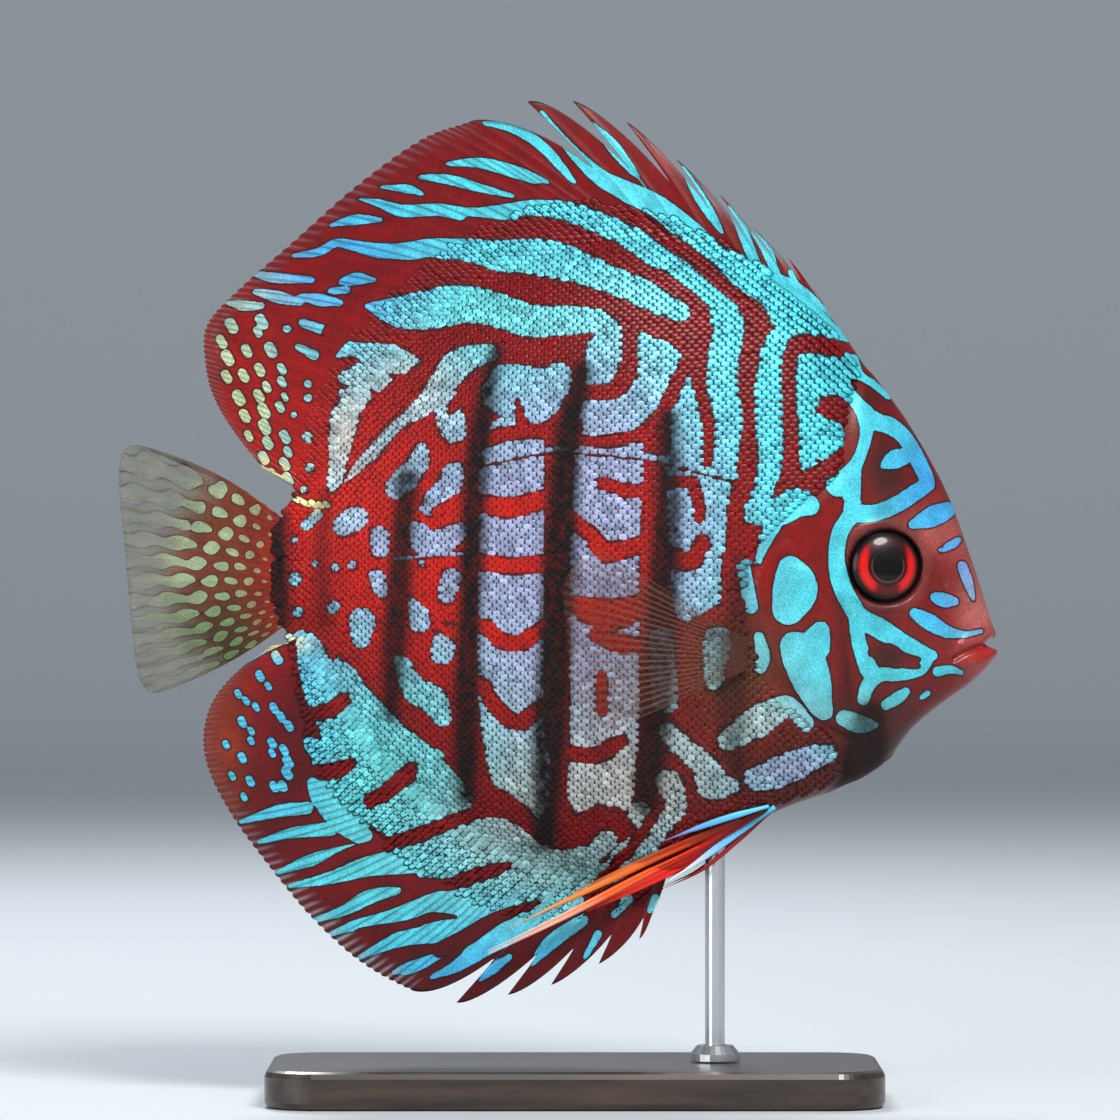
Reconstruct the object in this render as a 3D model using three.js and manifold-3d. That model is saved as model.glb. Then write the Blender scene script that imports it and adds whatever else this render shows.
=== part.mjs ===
// A life-size discus fish, swimming level, on a plain display stand.
// Millimetres, +Z up, head towards +X, the right flank towards -Y.
// The origin is on the floor, under the middle of the whole model.
import * as THREE from "three";
import { ParametricGeometry } from "three/addons/geometries/ParametricGeometry.js";
import { mergeVertices } from "three/addons/utils/BufferGeometryUtils.js";
import Module from "manifold-3d";

const wasm = await Module();
wasm.setup();

// Driving dimensions
const GAP = 0.3; // between neighbouring pieces
const FACET = 0.06; // how far a facet may stand off the true surface
const HALF_WIDTH = 11.6; // of the thickest part of the trunk, behind the gill covers
const TAIL_HALF_WIDTH = 3.9; // of the tail stalk
const RIM_HALF = 0.55; // half thickness of the body's edge where a fin grows from it
const FIN_ROOT_HALF = 0.5; // half thickness of a middle fin at its root
const FIN_EDGE_HALF = 0.28; // and at its margin
const GILL_PLATE = 1.8; // thickness of a gill cover
const DORSAL_FIN_FRONT = [30, 47]; // the stretch of x over which the edge thins towards the fin
const ANAL_FIN_FRONT = [12, 22];
const FIN_BLEND = 16; // half the height over which the upper edge's form turns into the lower's
const EYE = { x: 55, z: 90.7, radius: 6, dome: 2.1, depth: 3.2, sunk: 0.9 };
const STAND = { length: 104, width: 50, height: 6.5, corner: 9, chamfer: 1.2, x: 3 };
const ROD = { x: 26.8, radius: 1.7, seat: 51.5 };
const FERRULE = { radius: 4.2, height: 2.6 };

// The edge of the body seen from the side, [x, z], from the snout over the back and round.
// The first stretch is the forehead, then the root of the dorsal fin, the tail stalk,
// the root of the anal fin, the belly, the throat and the lips.
const BODY_EDGE = [
  [73.6, 81.6], [70.6, 91], [66, 103.4], [59.8, 114.6], [52.8, 124.3], [45, 134.6],
  [31.9, 142.9], [15.8, 146.7], [-1.2, 144.3], [-17.3, 135.8], [-28.7, 123.9], [-36.5, 112],
  [-40.9, 100.8], [-46.2, 98], [-47.9, 90], [-46, 82], [-41.9, 78.6],
  [-36, 67.9], [-26.6, 55.2], [-13.1, 45], [2.2, 38.7], [18.3, 37.6],
  [26.8, 43], [37, 48.6], [48, 52.8], [55.7, 57.4], [60.2, 63], [65, 67.1], [70.2, 70.8],
  [73.8, 74.4], [74.6, 76.2], [72.6, 77.5], [74.4, 79],
];
const BODY_CENTRE = [10, 92];

// Each fin is a row of rays, [root x, root z, tip x, tip z]
const DORSAL_SPINES = [
  [46.4, 132.2, 43.6, 137.7], [43, 135.4, 39.4, 142.8], [39.5, 137.9, 33.4, 148],
  [35.8, 139.8, 27.8, 153.6], [31.1, 142.2, 20.5, 159.6], [26.3, 144.3, 12, 166],
  [21.5, 145.7, 2.9, 169.6], [16.8, 146.4, -4.8, 169.6], [12, 146.5, -14.6, 166.2],
];
const DORSAL_RAYS = [
  [5.6, 146, -23.2, 163], [-4.6, 143.3, -34.3, 155], [-13.9, 138, -45, 145.5],
  [-22.4, 131, -54.1, 137.5], [-29.2, 122.7, -59.4, 131.5], [-34.3, 115.4, -59.7, 125.3],
  [-37.8, 108.6, -58.4, 119.7], [-39.9, 103.2, -55.2, 114], [-40.6, 101.2, -50, 107.3],
];
const ANAL_SPINES = [
  [18.2, 37.4, 16.6, 32.6], [16.1, 37.4, 14.1, 27.5], [13.4, 37.5, 7.3, 23.3],
  [10, 37.9, -0.8, 19.7], [5.9, 38.2, -8.1, 18], [1.5, 38.9, -16.8, 16.6],
  [-2.9, 40.3, -24.6, 18.7],
];
const ANAL_RAYS = [
  [-8.8, 42.8, -33.4, 23.5], [-15.1, 46.2, -41.6, 30.9], [-21.2, 50.4, -48.7, 39.4],
  [-26.6, 55.2, -55, 47.9], [-31.4, 61.1, -59.1, 55.7], [-35.1, 66.6, -60.1, 62],
  [-38.5, 72.7, -58.4, 67.9], [-40.9, 76.7, -54.1, 73], [-41.9, 78.4, -48.4, 77.2],
];
const TAIL_RAYS = [
  [-46, 97.4, -74.5, 111.9], [-47, 95.1, -74.7, 103.6], [-47.7, 91.7, -74, 96.4],
  [-47.8, 88.3, -73.3, 89.1], [-47.4, 85.2, -72.6, 81.5], [-46.7, 83, -71.8, 74.4],
  [-45.6, 81.6, -70.3, 68.4],
];
const BREAST_FIN_RAYS = [
  [32.4, 78.2, 5.6, 94.4], [32.2, 77, 1, 87.5], [32, 75.6, -0.2, 79],
  [32, 74.4, 2.2, 69.6], [32.2, 73.4, 8.7, 62.8],
];

// Cuts through the body, seen from the side
const GILL_EDGE = [
  [48, 200], [42, 140], [37, 124], [32.5, 108], [31, 97], [31.4, 84], [32.6, 72], [37.5, 62],
  [46, 40], [50, 0],
];
const GILL_COVER = [
  [33, 101], [40, 104.5], [45.5, 101], [45, 88], [46.5, 76], [47.5, 64], [44.5, 62.6],
  [39.5, 67], [34.4, 76], [33, 88],
];
const TAIL_CUT = [[-38.2, 200], [-37.4, 102], [-36.4, 89], [-37.4, 77], [-38.6, 0]];
const UPPER_JAW = [[68, 85], [80, 85], [80, 77.55], [72.6, 77.65], [69.6, 76.8], [67.4, 78.2]];
const LOWER_JAW = [[69.8, 76.4], [72.6, 77.25], [80, 77.15], [80, 66], [64.6, 66], [66.4, 72.4]];

// Small tools

const mix = (a, b, t) => a + (b - a) * t;

function smooth(low, high, x) {
  const t = Math.min(1, Math.max(0, (x - low) / (high - low)));
  return t * t * (3 - 2 * t);
}

// A geometry as a solid, turned so that its faces point outwards.
function solidOf(geometry) {
  const bare = geometry.index ? geometry.toNonIndexed() : geometry.clone();
  const plain = new THREE.BufferGeometry();
  plain.setAttribute("position", bare.getAttribute("position"));
  const merged = mergeVertices(plain, 1e-4);
  const corners = new Uint32Array(merged.index.array);
  const vertices = merged.attributes.position.array;
  const build = () =>
    new wasm.Manifold(new wasm.Mesh({ numProp: 3, vertProperties: vertices, triVerts: corners }));
  const made = build();
  if (made.volume() > 0) return made;
  for (let i = 0; i < corners.length; i += 3) {
    [corners[i + 1], corners[i + 2]] = [corners[i + 2], corners[i + 1]];
  }
  return build();
}

function geometryOf(solid) {
  const mesh = solid.getMesh();
  const geometry = new THREE.BufferGeometry();
  const places = new Float32Array(mesh.vertProperties);
  geometry.setAttribute("position", new THREE.BufferAttribute(places, 3));
  geometry.setIndex(new THREE.BufferAttribute(new Uint32Array(mesh.triVerts), 1));
  return geometry;
}

// A closed surface from a table of places: place(row, column) for rows of a ring of columns.
// The first and last rows each shrink to their middle, which closes the ends.
function closedRows(rows, columns, place) {
  const ring = (row) => Array.from({ length: columns }, (_, column) => place(row, column));
  const middle = (row) =>
    ring(row).reduce((sum, p) => sum.add(p), new THREE.Vector3()).divideScalar(columns);
  const table = Array.from({ length: rows }, (_, row) => ring(row));
  const ends = [middle(0), middle(rows - 1)];
  const surface = (u, v, target) => {
    const row = Math.round(v * (rows + 1)) - 1;
    const column = Math.round(u * columns) % columns;
    target.copy(row < 0 ? ends[0] : row >= rows ? ends[1] : table[row][column]);
  };
  return new ParametricGeometry(surface, columns, rows + 1);
}

// A flat outline [x, z] made into a block that reaches from y0 to y1.
function prism(outline, y0 = -30, y1 = 30) {
  const shape = new THREE.Shape(outline.map(([x, z]) => new THREE.Vector2(x, z)));
  const block = new THREE.ExtrudeGeometry(shape, { depth: y1 - y0, bevelEnabled: false });
  block.rotateX(Math.PI / 2).translate(0, y1, 0);
  return solidOf(block);
}

// The outline moved outwards by a distance, corner by corner.
function grown(outline, by) {
  const turn = THREE.ShapeUtils.area(outline.map(([x, z]) => new THREE.Vector2(x, z))) < 0 ? 1 : -1;
  const count = outline.length;
  return outline.map(([x, z], i) => {
    const [px, pz] = outline[(i + count - 1) % count];
    const [nx, nz] = outline[(i + 1) % count];
    const before = new THREE.Vector2(x - px, z - pz).normalize();
    const after = new THREE.Vector2(nx - x, nz - z).normalize();
    const out = new THREE.Vector2(-before.y - after.y, before.x + after.x).normalize();
    const reach = by / Math.max(0.5, Math.abs(out.dot(new THREE.Vector2(-after.y, after.x))));
    return [x + turn * out.x * reach, z + turn * out.y * reach];
  });
}

// The body's form

const edgeCurve = new THREE.CatmullRomCurve3(
  BODY_EDGE.map(([x, z]) => new THREE.Vector3(x, 0, z)), true, "catmullrom", 0.5,
);
const EDGE_STEPS = BODY_EDGE.length * 3;
const edgePoints = Array.from({ length: EDGE_STEPS }, (_, i) => edgeCurve.getPoint(i / EDGE_STEPS));

// How deep a place lies inside the edge. Every stretch of the edge pulls on it with the inverse
// cube of its distance, and the depth is that of a straight edge which would pull as hard. It is
// the plain distance near the edge, and has no creases further in.
function depthInside(x, z) {
  let pull = 0;
  edgePoints.forEach((a, i) => {
    const b = edgePoints[(i + 1) % EDGE_STEPS];
    const length = Math.hypot(b.x - a.x, b.z - a.z);
    const ux = (b.x - a.x) / length;
    const uz = (b.z - a.z) / length;
    const s1 = (a.x - x) * ux + (a.z - z) * uz;
    const s2 = s1 + length;
    const off = (a.x - x) * uz - (a.z - z) * ux;
    const h2 = Math.max(off * off, 1e-4);
    pull += (s2 / Math.sqrt(h2 + s2 * s2) - s1 / Math.sqrt(h2 + s1 * s1)) / h2;
  });
  return Math.sqrt(2 / Math.max(pull, 1e-9));
}

const MIDDLE_DEPTH = depthInside(...BODY_CENTRE);

// 1 where a middle fin grows from the nearest edge, 0 at the forehead, throat and belly.
function finShare(x, z) {
  const above = smooth(BODY_CENTRE[1] - FIN_BLEND, BODY_CENTRE[1] + FIN_BLEND, z);
  return mix(1 - smooth(...ANAL_FIN_FRONT, x), 1 - smooth(...DORSAL_FIN_FRONT, x), above);
}

// Half the body's thickness at a place seen from the side: round at the bare edges, and drawn
// out thin where a fin begins.
function halfThickness(x, z) {
  const share = Math.min(1, depthInside(x, z) / MIDDLE_DEPTH);
  const fin = finShare(x, z);
  const swell = Math.pow(share * (2 - share), mix(0.5, 0.86, fin));
  const trunk = mix(TAIL_HALF_WIDTH * 1.75, HALF_WIDTH, smooth(-48, 14, x));
  const width = trunk * mix(1, 0.93, smooth(45, 75, x));
  const gill = 0.7 * Math.exp(-(((x - 38) / 8) ** 2) - ((z - 84) / 17) ** 2);
  return width * swell + gill + RIM_HALF * fin;
}

// The whole body as one solid, or one that lies inside it by a depth.
function bodySolid(inset = 0) {
  const rings = 11;
  const sides = 2 * rings;
  const [cx, cz] = BODY_CENTRE;
  const place = (u, v, target) => {
    const along = Math.round(u * EDGE_STEPS) % EDGE_STEPS;
    const step = Math.round(v * (sides + 1));
    const right = step <= rings;
    const ring = right ? step : sides + 1 - step;
    const out = Math.sin((Math.PI / 2) * (ring / rings));
    const x = mix(cx, edgePoints[along].x, out);
    const z = mix(cz, edgePoints[along].z, out);
    const rim = RIM_HALF * finShare(x, z);
    const half = ring === rings ? rim : Math.max(halfThickness(x, z) - inset, 0.05);
    target.set(x, right ? -half : half, z);
  };
  return solidOf(new ParametricGeometry(place, EDGE_STEPS, sides + 1));
}

const body = bodySolid();

// Body pieces, parted by thin cuts

function beyond(line, x, shift) {
  const moved = line.map(([px, pz]) => [px + shift, pz]);
  return [...moved, [x, line.at(-1)[1]], [x, line[0][1]]];
}

const headBlock = prism(beyond(GILL_EDGE, 90, GAP / 2));
const behindHead = prism(beyond(GILL_EDGE, -90, -GAP / 2));
const tailBlock = prism(beyond(TAIL_CUT, -90, -GAP / 2));
const aheadOfTail = prism(beyond(TAIL_CUT, 90, GAP / 2));

// The eyes look out along the head's own slope.
const slope = 0.5;
const eyeLean = new THREE.Vector3(
  -(halfThickness(EYE.x + slope, EYE.z) - halfThickness(EYE.x - slope, EYE.z)) / (2 * slope),
  -1,
  -(halfThickness(EYE.x, EYE.z + slope) - halfThickness(EYE.x, EYE.z - slope)) / (2 * slope),
).normalize();

function eyeball(side, spare = 0) {
  const { radius, dome, depth } = EYE;
  const profile = [
    new THREE.Vector2(0, -depth - spare),
    new THREE.Vector2(radius * 0.75 + spare, -depth - spare),
  ];
  for (let i = 0; i <= 6; i += 1) {
    const turn = (i / 6) * (Math.PI / 2);
    profile.push(new THREE.Vector2((radius + spare) * Math.cos(turn), (dome + spare) * Math.sin(turn)));
  }
  profile.at(-1).x = 0;
  const lens = new THREE.LatheGeometry(profile, 28);
  const axis = eyeLean.clone();
  axis.y *= side;
  lens.applyQuaternion(new THREE.Quaternion().setFromUnitVectors(new THREE.Vector3(0, 1, 0), axis));
  lens.translate(EYE.x, -side * (halfThickness(EYE.x, EYE.z) - EYE.sunk), EYE.z);
  return solidOf(lens);
}

// A block over one gill cover: the right flank is side 1, the left is side -1.
const gillBlock = (side, by) =>
  side > 0 ? prism(grown(GILL_COVER, by), -30, -3) : prism(grown(GILL_COVER, by), 3, 30);

const underPlate = bodySolid(GILL_PLATE);
const underGap = bodySolid(GILL_PLATE + GAP);

function headSolid() {
  let head = body.intersect(headBlock);
  [1, -1].forEach((side) => {
    head = head.subtract(gillBlock(side, GAP).subtract(underGap)).subtract(eyeball(side, GAP));
  });
  return head.subtract(prism(grown(UPPER_JAW, GAP))).subtract(prism(grown(LOWER_JAW, GAP)));
}

const gillCover = (side) => body.subtract(underPlate).intersect(gillBlock(side, 0));

function rodSocket() {
  const hole = new THREE.CylinderGeometry(ROD.radius + GAP, ROD.radius + GAP, 30, 20);
  hole.rotateX(Math.PI / 2).translate(ROD.x, 0, ROD.seat + GAP - 15);
  return solidOf(hole);
}

// Fins

// The rays between the named ones, by a smooth curve through their roots and tips.
function rayAt(rays, share, sunk) {
  const curve = (ix) => {
    const places = rays.map((r) => new THREE.Vector3(r[ix], 0, r[ix + 1]));
    return new THREE.CatmullRomCurve3(places, false, "catmullrom", 0.5);
  };
  const [root, tip] = [curve(0).getPoint(share), curve(2).getPoint(share)];
  const back = root.clone().sub(tip).setLength(sunk);
  return [root.add(back), tip];
}

// A fin blade: rows of rays from root to margin, with a thickness that falls towards the margin.
// edge(share) cuts the margin back, and sway(along, share) carries the blade sideways.
function finBlade(rays, { rows, steps, edge = () => 1, sway = () => 0, droop = 0, sunk = 1.6,
  rootHalf = FIN_ROOT_HALF, edgeHalf = FIN_EDGE_HALF }) {
  const place = (row, column) => {
    const share = row / (rows - 1);
    const [root, tip] = rayAt(rays, share, sunk);
    const right = column <= steps;
    const along = mix(0, edge(share), (right ? column : 2 * steps + 1 - column) / steps);
    const bow = droop * 4 * along * (1 - along);
    const half = mix(rootHalf, edgeHalf, along);
    const across = new THREE.Vector3(tip.z - root.z, 0, root.x - tip.x).multiplyScalar(bow);
    return root.clone().lerp(tip, along).add(across)
      .setY(sway(along, share) + (right ? -half : half));
  };
  return solidOf(closedRows(rows, 2 * steps + 2, place));
}

// The margin between spines sinks to a notch behind each tip.
function notched(count, low) {
  return (share) => {
    const between = (share * (count - 1)) % 1;
    return mix(low, 1, Math.pow(Math.abs(2 * between - 1), 1.5));
  };
}

const dorsalSway = (along, share) => 1.3 * along * along * Math.sin(share * 5.2 + 0.5);
const analSway = (along, share) => -1.2 * along * along * Math.sin(share * 4.6 + 0.6);
const tailSway = (along, share) => 5 * along * along + 0.8 * along * Math.sin(share * 6.3);

// A middle fin's rays start inside the body; its root is cut to follow the body's edge.
const bodyOutline = prism(grown(edgePoints.map((p) => [p.x, p.z]), GAP));
const middleFin = (rays, form) => finBlade(rays, form).subtract(bodyOutline);

// A block over everything on one side of a ray, seen from the side: ahead of it is way 1,
// behind it is way -1. It stops short of the ray by half a gap.
function besideRay([rootX, rootZ, tipX, tipZ], way) {
  const along = new THREE.Vector2(tipX - rootX, tipZ - rootZ).normalize();
  const out = new THREE.Vector2(Math.abs(along.y), -Math.sign(along.y) * along.x).multiplyScalar(way);
  const near = (s) => [rootX + along.x * s + out.x * GAP / 2, rootZ + along.y * s + out.y * GAP / 2];
  const far = (s) => [rootX + along.x * s + out.x * 90, rootZ + along.y * s + out.y * 90];
  return prism([near(-25), near(60), far(60), far(-25)]);
}

const dorsalSoft = [DORSAL_SPINES.at(-1), ...DORSAL_RAYS];
const analSoft = [ANAL_SPINES.at(-1), ...ANAL_RAYS];

// A breast fin starts on the flank and stands off it, spreading as it goes back.
function breastFin(side) {
  const flank = halfThickness(BREAST_FIN_RAYS[2][0], BREAST_FIN_RAYS[2][1]);
  const stand = (along) => -side * (flank + 0.75 + 2.6 * Math.sin(along * 1.9));
  return finBlade(BREAST_FIN_RAYS, {
    rows: 13, steps: 6, sway: stand, sunk: 0, rootHalf: 0.32, edgeHalf: 0.26, droop: 0.02,
    edge: (share) => 1 - 0.06 * Math.cos(share * 25) ** 2,
  });
}

// A belly fin is a long pointed blade: a stiff front spine, and soft rays that end in a thread.
const BELLY_FIN = {
  root: [36.2, 49.5], bend: [15, 35.5], tip: [-11.6, 25.6], half: 2.3, spread: 4.4, y: 1.6,
};

function bellyFin(side) {
  const { root, bend, tip, half, spread, y } = BELLY_FIN;
  const line = new THREE.QuadraticBezierCurve(
    new THREE.Vector2(...root), new THREE.Vector2(...bend), new THREE.Vector2(...tip),
  );
  const rows = 15;
  const columns = 8;
  const place = (row, column) => {
    const along = row / (rows - 1);
    const at = line.getPoint(along);
    const way = line.getTangent(along);
    const swell = Math.sin(Math.PI * Math.min(1, 0.08 + along * 0.92) ** 0.62);
    const wide = half * Math.pow(swell, 0.9) + 0.3;
    const thick = mix(0.5, 0.27, along);
    const turn = ((column + 0.5) / columns) * 2 * Math.PI;
    return new THREE.Vector3(
      at.x - way.y * wide * Math.cos(turn),
      -side * (y + spread * Math.pow(along, 0.8)) + thick * Math.sin(turn),
      at.y + way.x * wide * Math.cos(turn),
    );
  };
  return solidOf(closedRows(rows, columns, place)).subtract(bodySolid(-GAP));
}

// Stand

function standBase() {
  const { length, width, height, corner, chamfer, x } = STAND;
  const outline = (inset) => {
    const shape = new THREE.Shape();
    const a = length / 2 - inset;
    const b = width / 2 - inset;
    const r = corner - inset;
    shape.absarc(a - r, b - r, r, 0, Math.PI / 2);
    shape.absarc(-a + r, b - r, r, Math.PI / 2, Math.PI);
    shape.absarc(-a + r, -b + r, r, Math.PI, 1.5 * Math.PI);
    shape.absarc(a - r, -b + r, r, 1.5 * Math.PI, 2 * Math.PI);
    return shape;
  };
  const slab = new THREE.ExtrudeGeometry(outline(chamfer), {
    depth: height - 2 * chamfer, bevelThickness: chamfer, bevelSize: chamfer, bevelSegments: 2,
    curveSegments: 8,
  });
  slab.translate(x, 0, chamfer);
  return solidOf(slab);
}

function standRod() {
  const bottom = STAND.height + GAP;
  const rod = new THREE.CylinderGeometry(ROD.radius, ROD.radius, ROD.seat - bottom, 20);
  rod.rotateX(Math.PI / 2).translate(ROD.x, 0, (ROD.seat + bottom) / 2);
  return solidOf(rod);
}

function standFerrule() {
  const inner = ROD.radius + GAP;
  const { radius, height } = FERRULE;
  const profile = [
    [inner, 0], [radius, 0], [radius, height * 0.45], [radius * 0.72, height], [inner, height], [inner, 0],
  ];
  const ring = new THREE.LatheGeometry(profile.map(([r, h]) => new THREE.Vector2(r, h)), 28);
  ring.rotateX(Math.PI / 2).translate(ROD.x, 0, STAND.height + GAP);
  return solidOf(ring);
}

// Materials

const finish = (color, roughness, metalness = 0) =>
  new THREE.MeshStandardMaterial({ color, roughness, metalness });
const scaledSkin = () => finish("#6fb6c4", 0.45);
const headSkin = () => finish("#a8432f", 0.4);
const finSkin = () => finish("#8c1a16", 0.5);
const clearFin = () => finish("#b7b49a", 0.45);
const eyeRed = () => finish("#c01c12", 0.12);
const darkWood = () => finish("#2b211c", 0.4);
const steel = () => finish("#b9bcc0", 0.3, 1);

const fish = new THREE.Group();

function add(name, solid, material) {
  const mesh = new THREE.Mesh(geometryOf(solid.simplify(FACET)), material);
  mesh.name = name;
  fish.add(mesh);
}

add("head", headSolid(), headSkin());
add("gill_cover_right", gillCover(1), headSkin());
add("gill_cover_left", gillCover(-1), headSkin());
add("upper_jaw", body.intersect(prism(UPPER_JAW)), headSkin());
add("lower_jaw", body.intersect(prism(LOWER_JAW)), headSkin());
add("eye_right", eyeball(1), eyeRed());
add("eye_left", eyeball(-1), eyeRed());
add("trunk", body.intersect(behindHead).intersect(aheadOfTail).subtract(rodSocket()), scaledSkin());
add("tail_stalk", body.intersect(tailBlock), scaledSkin());
add("dorsal_fin_spiny", middleFin(DORSAL_SPINES, {
  rows: 33, steps: 4, edge: notched(9, 0.76), droop: 0.02,
  sway: (along) => dorsalSway(along, 0),
}).intersect(besideRay(DORSAL_SPINES.at(-1), 1)), finSkin());
add("dorsal_fin_soft", middleFin(dorsalSoft, {
  rows: 28, steps: 6, droop: 0.03, sway: dorsalSway,
}).intersect(besideRay(DORSAL_SPINES.at(-1), -1)), finSkin());
add("anal_fin_spiny", middleFin(ANAL_SPINES, {
  rows: 25, steps: 4, edge: notched(7, 0.74), droop: -0.03, sway: (along) => analSway(along, 0),
}).intersect(besideRay(ANAL_SPINES.at(-1), 1)), finSkin());
add("anal_fin_soft", middleFin(analSoft, {
  rows: 28, steps: 6, droop: -0.03, sway: analSway,
}).intersect(besideRay(ANAL_SPINES.at(-1), -1)), finSkin());
add("tail_fin", middleFin(TAIL_RAYS, {
  rows: 19, steps: 6, sway: tailSway, sunk: 1, rootHalf: 0.6, edgeHalf: 0.32,
}), clearFin());
add("breast_fin_right", breastFin(1), clearFin());
add("breast_fin_left", breastFin(-1), clearFin());
add("belly_fin_right", bellyFin(1), finSkin());
add("belly_fin_left", bellyFin(-1), finSkin());
add("stand_base", standBase(), darkWood());
add("stand_ferrule", standFerrule(), steel());
add("stand_rod", standRod(), steel());

export default fish;
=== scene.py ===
"""A life-size discus fish on a plain display stand, seen from its right side.
Metres, +Z up, head towards +X. Sizes inside the sections are in millimetres until a mesh is made."""
import bpy
import math
import numpy as np
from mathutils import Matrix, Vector


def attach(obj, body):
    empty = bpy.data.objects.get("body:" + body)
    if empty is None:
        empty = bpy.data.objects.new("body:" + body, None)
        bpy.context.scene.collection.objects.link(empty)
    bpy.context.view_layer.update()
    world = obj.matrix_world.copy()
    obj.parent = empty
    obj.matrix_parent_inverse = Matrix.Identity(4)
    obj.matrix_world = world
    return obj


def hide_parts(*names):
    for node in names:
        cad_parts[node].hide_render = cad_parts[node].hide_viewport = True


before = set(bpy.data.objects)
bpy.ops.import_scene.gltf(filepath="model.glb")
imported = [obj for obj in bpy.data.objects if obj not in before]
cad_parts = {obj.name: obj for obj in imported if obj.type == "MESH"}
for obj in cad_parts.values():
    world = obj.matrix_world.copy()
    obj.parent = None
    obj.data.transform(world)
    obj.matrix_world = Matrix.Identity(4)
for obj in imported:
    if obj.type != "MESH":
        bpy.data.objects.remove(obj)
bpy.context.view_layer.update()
rng = np.random.default_rng(7)

# The skin: the whole body of a discus, a tall disc of muscle drawn out thin under the two long
# fins, with a small blunt head. One closed skin covers head, gill covers, jaws, trunk and tail
# stalk, and lies a scale's thickness inside their outer shape wherever scales cover it.
body_edge = np.array([
    [73.6, 81.6], [70.6, 91], [66, 103.4], [59.8, 114.6], [52.8, 124.3], [45, 134.6],
    [31.9, 142.9], [15.8, 146.7], [-1.2, 144.3], [-17.3, 135.8], [-28.7, 123.9], [-36.5, 112],
    [-40.9, 100.8], [-46.2, 98], [-47.9, 90], [-46, 82], [-41.9, 78.6],
    [-36, 67.9], [-26.6, 55.2], [-13.1, 45], [2.2, 38.7], [18.3, 37.6],
    [26.8, 43], [37, 48.6], [48, 52.8], [55.7, 57.4], [60.2, 63], [65, 67.1], [70.2, 70.8],
    [73.8, 74.4], [74.6, 76.2], [72.6, 77.5], [74.4, 79]])
body_centre = np.array([10.0, 92.0])
half_width, stalk_half_width, rim_half = 11.6, 6.825, 0.55
head_narrowing, gill_bulge = 0.07, 0.7
gill_at, gill_reach = (38, 84), (8, 17)
round_edge, drawn_out = 0.5, 0.36  # powers of the flank's curve
scale_depth, fin_blend = 0.3, 16.0


def curve(points, t, closed=False):
    """The Catmull-Rom curve through points at shares t of its length in points."""
    points = np.asarray(points, float)
    count = len(points)
    if closed:
        pts, at = points, (np.asarray(t, float) % 1) * count
        i = np.floor(at).astype(int)
        p0, p1, p2, p3 = (pts[(i + k) % count] for k in (-1, 0, 1, 2))
    else:
        pts = np.vstack([2 * points[0] - points[1], points, 2 * points[-1] - points[-2]])
        at = np.clip(np.asarray(t, float), 0, 1) * (count - 1)
        i = np.minimum(np.floor(at).astype(int), count - 2)
        p0, p1, p2, p3 = (pts[i + k] for k in (0, 1, 2, 3))
    f = (at - i)[..., None]
    return 0.5 * (2 * p1 + (p2 - p0) * f + (2 * p0 - 5 * p1 + 4 * p2 - p3) * f**2
                  + (3 * p1 - p0 - 3 * p2 + p3) * f**3)


def smooth(low, high, x):
    """0 below low, 1 above high, and s*s*(3 - 2s) between them."""
    s = np.clip((x - low) / (high - low), 0, 1)
    return s * s * (3 - 2 * s)


edge_steps = len(body_edge) * 3
edge_points = curve(body_edge, np.arange(edge_steps) / edge_steps, closed=True)


def depth_inside(x, z):
    """How deep a place lies inside the edge: each stretch of edge pulls with 1 / distance^3, and the
    depth is that of a straight edge with the same pull, sqrt(2 / pull)."""
    x, z = np.asarray(x, float), np.asarray(z, float)
    pull = np.zeros(x.shape)
    for a, b in zip(edge_points, np.roll(edge_points, -1, axis=0)):
        length = np.hypot(*(b - a))
        ux, uz = (b - a) / length
        s1 = (a[0] - x) * ux + (a[1] - z) * uz
        s2 = s1 + length
        h2 = np.maximum(((a[0] - x) * uz - (a[1] - z) * ux) ** 2, 1e-4)
        pull += (s2 / np.sqrt(h2 + s2 * s2) - s1 / np.sqrt(h2 + s1 * s1)) / h2
    return np.sqrt(2 / np.maximum(pull, 1e-9))


middle_depth = float(depth_inside(*body_centre))


def fin_share(x, z):
    """1 where a middle fin grows from the nearest edge, 0 at the forehead, throat and belly."""
    above = smooth(body_centre[1] - fin_blend, body_centre[1] + fin_blend, z)
    return (1 - smooth(12, 22, x)) * (1 - above) + (1 - smooth(30, 47, x)) * above


def half_thickness(x, z):
    """Half the body's thickness: width * (d (2 - d))^q with d the share of the middle's depth, and
    q from 0.5, a round edge, to 0.86, an edge drawn out thin under a fin; and the gills' soft bulge."""
    share = np.minimum(1, depth_inside(x, z) / middle_depth)
    fin = fin_share(x, z)
    width = stalk_half_width + (half_width - stalk_half_width) * smooth(-48, 14, x)
    width = width * (1 - head_narrowing * smooth(45, 75, x))
    gill = gill_bulge * np.exp(-(((x - gill_at[0]) / gill_reach[0]) ** 2)
                               - ((z - gill_at[1]) / gill_reach[1]) ** 2)
    return width * (share * (2 - share)) ** (round_edge + drawn_out * fin) + gill + rim_half * fin


# The photo's own scale: the fish is 884 pixels and 150 mm long, snout to tail.
mm_per_px = 0.1697
photo_x0, photo_floor_y, photo_floor_z = 557, 1003, 16.5


def from_photo(px, py):
    """The place in mm of a point in the photo's pixels: each axis is shifted and scaled."""
    return (np.asarray(px, float) - photo_x0) * mm_per_px, \
        photo_floor_z + (photo_floor_y - np.asarray(py, float)) * mm_per_px


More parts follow.
